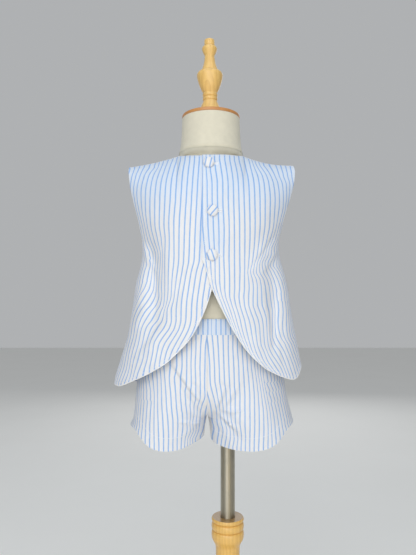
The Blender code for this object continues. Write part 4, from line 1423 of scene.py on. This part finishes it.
def lap_surface(x, z):
    """The upper panel's outer point, its normal and its upward direction nearest an (x, z) place."""
    points, normal = GRIDS["top_back_right"]
    gap = (points[..., 0] - x) ** 2 + (points[..., 2] - z) ** 2
    j, i = np.unravel_index(np.argmin(gap), gap.shape)
    out = Vector(normal[j, i]).normalized()
    up = Vector((0, 0, 1))
    up = (up - out * up.dot(out)).normalized()
    spot = Vector((x, points[j, i, 1] - (z - points[j, i, 2]) * out.z / min(out.y, -0.2), z))
    return spot + out * CLOTH_FINE / 2, out, up


class SHORTSSET_OT_buttons(bpy.types.Operator):
    """Make the three cloth-covered dome buttons and the buttonholes they pass through"""

    bl_idname = "shorts_set.buttons"
    bl_label = "Buttons and buttonholes"

    def execute(self, context):
        """Build each button with its own slant of stripes, and the worked buttonhole beside it."""
        holes = Bundle()
        for number, (name, x, z, slant) in enumerate(BUTTONS):
            spot, out, up = lap_surface(x, z)
            right = up.cross(out).normalized()
            self.buttonhole(holes, spot, out, right, up)
            facing = (out + Vector(BUTTON_TURN)).normalized()
            lift = BUTTON_PROFILE[0][0] * math.sin(out.angle(facing))
            up = (up - facing * up.dot(facing)).normalized()
            self.button(name, spot + out * lift, facing, up.cross(facing).normalized(), up, slant, number)
        thread = mesh_object("buttonhole_stitches", holes.verts, holes.faces,
                             plain_cotton("white_thread", WHITE_THREAD))
        finish_piece(thread, "striped_cotton")
        return {"FINISHED"}

    def button(self, name, spot, out, right, up, slant, number):
        """One covered button: a dome with its cloth gathered under the rim."""
        sides = 56
        outline = round_profile(BUTTON_PROFILE, 3)
        verts = []
        stripes = []
        for radius, height in outline[:-1]:
            for i in range(sides):
                angle = 2 * math.pi * i / sides
                pucker = 1 + 0.012 * math.sin(19 * angle + number) * max(0, 1 - height / 2.2)
                a, b = radius * pucker * math.cos(angle), radius * pucker * math.sin(angle)
                place = spot + right * a + up * b * BUTTON_OVAL + out * (height + BUTTON_RISE)
                verts.append(tuple(place))
                stripes.append((a, b))
        verts.append(tuple(spot + out * (outline[-1][1] + BUTTON_RISE)))
        stripes.append((0.0, 0.0))
        rings = len(outline) - 1
        last = (rings - 1) * sides
        faces = ring_faces(rings, sides)
        faces += [(last + i, last + (i + 1) % sides, len(verts) - 1) for i in range(sides)]
        faces.append(tuple(reversed(range(sides))))
        cloth = poplin(f"button_cloth_{number}", 0.1 + 0.1 * number, slant)
        cover = mesh_object(f"covered_{name}", verts, faces, cloth)
        cloth_map = cover.data.uv_layers.new(name="cloth")
        for loop in cover.data.loops:
            a, b = stripes[loop.vertex_index]
            cloth_map.data[loop.index].uv = (a / CM, b / CM)
        finish_piece(cover, "striped_cotton", name)

    def buttonhole(self, bundle, spot, out, right, up):
        """A worked slot with close stitches on both lips and a bar at its outer end."""
        for lip in (-1, 1):
            rail = [spot + right * (HOLE_START + (HOLE_END + 0.6 - HOLE_START) * k / 8) + up * (lip * LIP_AT)
                    + out * 0.2 for k in range(9)]
            bundle.add(*tube(rail, LIP_RADIUS, 8))
            at = HOLE_START
            while at < HOLE_END:
                low = spot + right * at + up * (lip * 0.22)
                high = spot + right * at + up * (lip * HOLE_HALF)
                middle = (low + high) / 2 + out * 0.52
                bow = out * 0.12
                loop = [low, (low + middle) / 2 + bow, middle, (high + middle) / 2 + bow, high]
                bundle.add(*tube(loop, THREAD_RADIUS, 5))
                at += THREAD_STEP
        bar = [spot + right * (HOLE_END + 0.7) + up * (HOLE_HALF * (k / 3 - 1)) + out * 0.16
               for k in range(7)]
        bundle.add(*tube(bar, BAR_RADIUS, 8))
        for k in range(6):
            side = -HOLE_HALF + HOLE_HALF * 2 * k / 5
            low = spot + right * (HOLE_END + 0.1) + up * side
            high = spot + right * (HOLE_END + 1.4) + up * side
            middle = (low + high) / 2 + out * 0.66
            bundle.add(*tube([low, middle, high], THREAD_RADIUS, 5))


class SHORTSSET_OT_stitching(bpy.types.Operator):
    """Sew the machine stitches along hems, neckline, shoulders and lap edge"""

    bl_idname = "shorts_set.stitching"
    bl_label = "Stitching"

    def execute(self, context):
        """Build each garment's stitches as one mesh."""
        face = CLOTH_FINE / 2
        top = Bundle()
        for name in ("top_back_left", "top_back_right", "top_front"):
            points, normal = GRIDS[name]
            stitches(top, slanted_inset(points, normal, TOP_HEM_DEPTH), face)
            stitches(top, inset_line(points, normal, EDGE_STITCH, "top"), face)
        points, normal = GRIDS["top_back_right"]
        stitches(top, inset_line(points, normal, EDGE_STITCH, "left"), face)
        thread = plain_cotton("white_thread", WHITE_THREAD)
        finish_piece(mesh_object("stitches_top", top.verts, top.faces, thread), "striped_cotton")
        shorts = Bundle()
        for word in ("back_left", "back_right", "front_left", "front_right"):
            points, normal = GRIDS[f"shorts_{word}"]
            stitches(shorts, inset_line(points, normal, LEG_HEM_DEPTH, "bottom"), face)
        finish_piece(mesh_object("stitches_shorts", shorts.verts, shorts.faces, thread), "striped_cotton")
        return {"FINISHED"}


class SHORTSSET_OT_form(bpy.types.Operator):
    """Make the canvas-covered form, its neck seam and its wooden neck cap"""

    bl_idname = "shorts_set.form"
    bl_label = "Dress form"

    def execute(self, context):
        """Build the form's body, neck seam and cap."""
        segments = 120
        heights = np.linspace(FORM_RINGS[0][0], FORM_RINGS[-1][0], 150)
        reads = [reader([(row[0], row[k]) for row in FORM_RINGS]) for k in (1, 2, 3)]
        verts = []
        for z in heights:
            width, depth, power = (read(z) for read in reads)
            for i in range(segments):
                verts.append((*oval(width, depth, power, 2 * math.pi * i / segments), z))
        faces = ring_faces(len(heights), segments) + end_faces(len(heights), segments)
        body = mesh_object("form_cover", verts, faces, canvas())
        finish_piece(body, "canvas", "form_body")
        wood = turned_wood("cap_wood", tuple(settings().cap_wood), 0.38)
        cap = turned_piece("neck_plate", NECK_CAP, wood, 96)
        finish_piece(cap, "red_brown_wood", "neck_cap")
        radius, height, rise = NECK_SEAM
        seam = [(radius * math.cos(a), radius * math.sin(a) * 0.99, height + rise * math.cos(a) ** 2)
                for a in np.linspace(0, 2 * math.pi, 90, endpoint=False)]
        ridge = mesh_object("neck_seam", *tube(seam, 0.42, 6, closed=True), canvas())
        finish_piece(ridge, "canvas")
        return {"FINISHED"}


class SHORTSSET_OT_stand(bpy.types.Operator):
    """Make the turned finial, post and base, and the steel pole"""

    bl_idname = "shorts_set.stand"
    bl_label = "Stand"

    def execute(self, context):
        """Build the turned pieces and the pole."""
        honey = tuple(settings().wood)
        wood = turned_wood("honey_turning", honey, 0.3)
        finial = turned_piece("turned_finial", FINIAL, wood, 80)
        foot = min(vertex.co.z for vertex in finial.data.vertices)
        for vertex in finial.data.vertices:
            vertex.co.x -= FINIAL_SHIFT * MM + FINIAL_LEAN * (vertex.co.z - foot)
        finish_piece(finial, "honey_wood", "finial")
        end_grain = turned_wood("end_grain", tinted(honey, END_GRAIN_TINT), 0.3, 0.1)
        wood = turned_wood("post_turning", tinted(honey, POST_TINT), 0.3)
        post = turned_piece("turned_post", POST, wood, 96, place=False, bore=BORE_FLOOR_Z, top=end_grain)
        finish_piece(post, "honey_wood", "stand_post")
        base = turned_piece("turned_base", BASE, wood, 128, place=False)
        finish_piece(base, "honey_wood", "stand_base")
        low, high = POLE_Z
        profile = [(POLE_RADIUS - POLE_EDGE, low), (POLE_RADIUS, low + POLE_EDGE),
                   (POLE_RADIUS, high - POLE_EDGE), (POLE_RADIUS - POLE_EDGE, high)]
        pole = turned_piece("steel_tube", profile, steel(), 80, place=False)
        finish_piece(pole, "polished_steel", "pole")
        return {"FINISHED"}


class SHORTSSET_OT_stage(bpy.types.Operator):
    """Lay a plain pale floor, set soft lights and place the camera at the photograph's angle"""

    bl_idname = "shorts_set.stage"
    bl_label = "Stage"

    def execute(self, context):
        """Build the floor, lights, world and camera."""
        floor = NodeTree("pale_floor")
        tone = floor.mix(floor.noise(floor.place(), 4.0, 3.0), (0.84, 0.84, 0.82), (0.87, 0.87, 0.85))
        floor.surface(Base_Color=tone, Roughness=0.9)
        mesh = bpy.data.meshes.new("floor")
        half = FLOOR_HALF
        verts = [(-half, -half, 0), (half, -half, 0), (half, half, 0), (-half, half, 0)]
        mesh.from_pydata(verts, [], [(0, 1, 2, 3)])
        mesh.materials.append(floor.material)
        ground = bpy.data.objects.new("floor", mesh)
        context.scene.collection.objects.link(ground)

        # A pale room, darker towards both sides, so that the steel has edges.
        world = bpy.data.worlds.new("studio")
        sky = NodeTree("studio", world)
        sides = sky.math("ABSOLUTE", sky.split(sky.add("ShaderNodeTexCoord").outputs["Generated"])[0])
        back = sky.tree.nodes["Background"]
        back.inputs["Color"].default_value = (0.86, 0.88, 0.90, 1)
        sky.link(sky.span(sides, *ROOM_SIDES, smooth=True), back.inputs["Strength"])
        context.scene.world = world

        for name, at, size, power, colour in LIGHTS:
            lamp = bpy.data.lights.new(name, "AREA")
            lamp.size = size
            lamp.energy = power
            lamp.color = colour
            obj = bpy.data.objects.new(name, lamp)
            obj.location = at
            aim = Vector(LIGHTS_AIM) - Vector(at)
            obj.rotation_euler = aim.to_track_quat("-Z", "Y").to_euler()
            context.scene.collection.objects.link(obj)

        view = bpy.data.cameras.new("camera")
        view.lens = CAMERA_LENS
        view.sensor_width = 36.0
        view.shift_y = CAMERA_SHIFT
        camera = bpy.data.objects.new("camera", view)
        camera.location = CAMERA_AT
        camera.rotation_euler = (math.radians(90), 0, 0)
        context.scene.collection.objects.link(camera)
        context.scene.camera = camera
        context.scene.view_settings.view_transform = "Standard"
        return {"FINISHED"}


STEPS = (
    SHORTSSET_OT_stage,
    SHORTSSET_OT_form,
    SHORTSSET_OT_stand,
    SHORTSSET_OT_top_front,
    SHORTSSET_OT_top_backs,
    SHORTSSET_OT_shorts,
    SHORTSSET_OT_waistband,
    SHORTSSET_OT_buttons,
    SHORTSSET_OT_stitching,
)


class SHORTSSET_PT_pieces(bpy.types.Panel):
    """Lists the set's values and the operators that make its pieces"""

    bl_idname = "SHORTSSET_PT_pieces"
    bl_label = "Shorts Set"
    bl_space_type = "VIEW_3D"
    bl_region_type = "UI"
    bl_category = "Shorts Set"

    def draw(self, context):
        """Draw the values first and then one button for each operator."""
        for key in ShortsSetSettings.__annotations__:
            self.layout.prop(context.scene.shorts_set, key)
        for step in STEPS:
            self.layout.operator(step.bl_idname)


CLASSES = (ShortsSetSettings, *STEPS, SHORTSSET_PT_pieces)


def register():
    """Register the classes and the scene's values."""
    for item in CLASSES:
        bpy.utils.register_class(item)
    bpy.types.Scene.shorts_set = bpy.props.PointerProperty(type=ShortsSetSettings)


def unregister():
    """Remove the scene's values and the classes."""
    del bpy.types.Scene.shorts_set
    for item in reversed(CLASSES):
        bpy.utils.unregister_class(item)


def main():
    """Make every piece in order."""
    register()
    for step in STEPS:
        group, call = step.bl_idname.split(".")
        getattr(getattr(bpy.ops, group), call)()


if __name__ == "__main__":
    main()
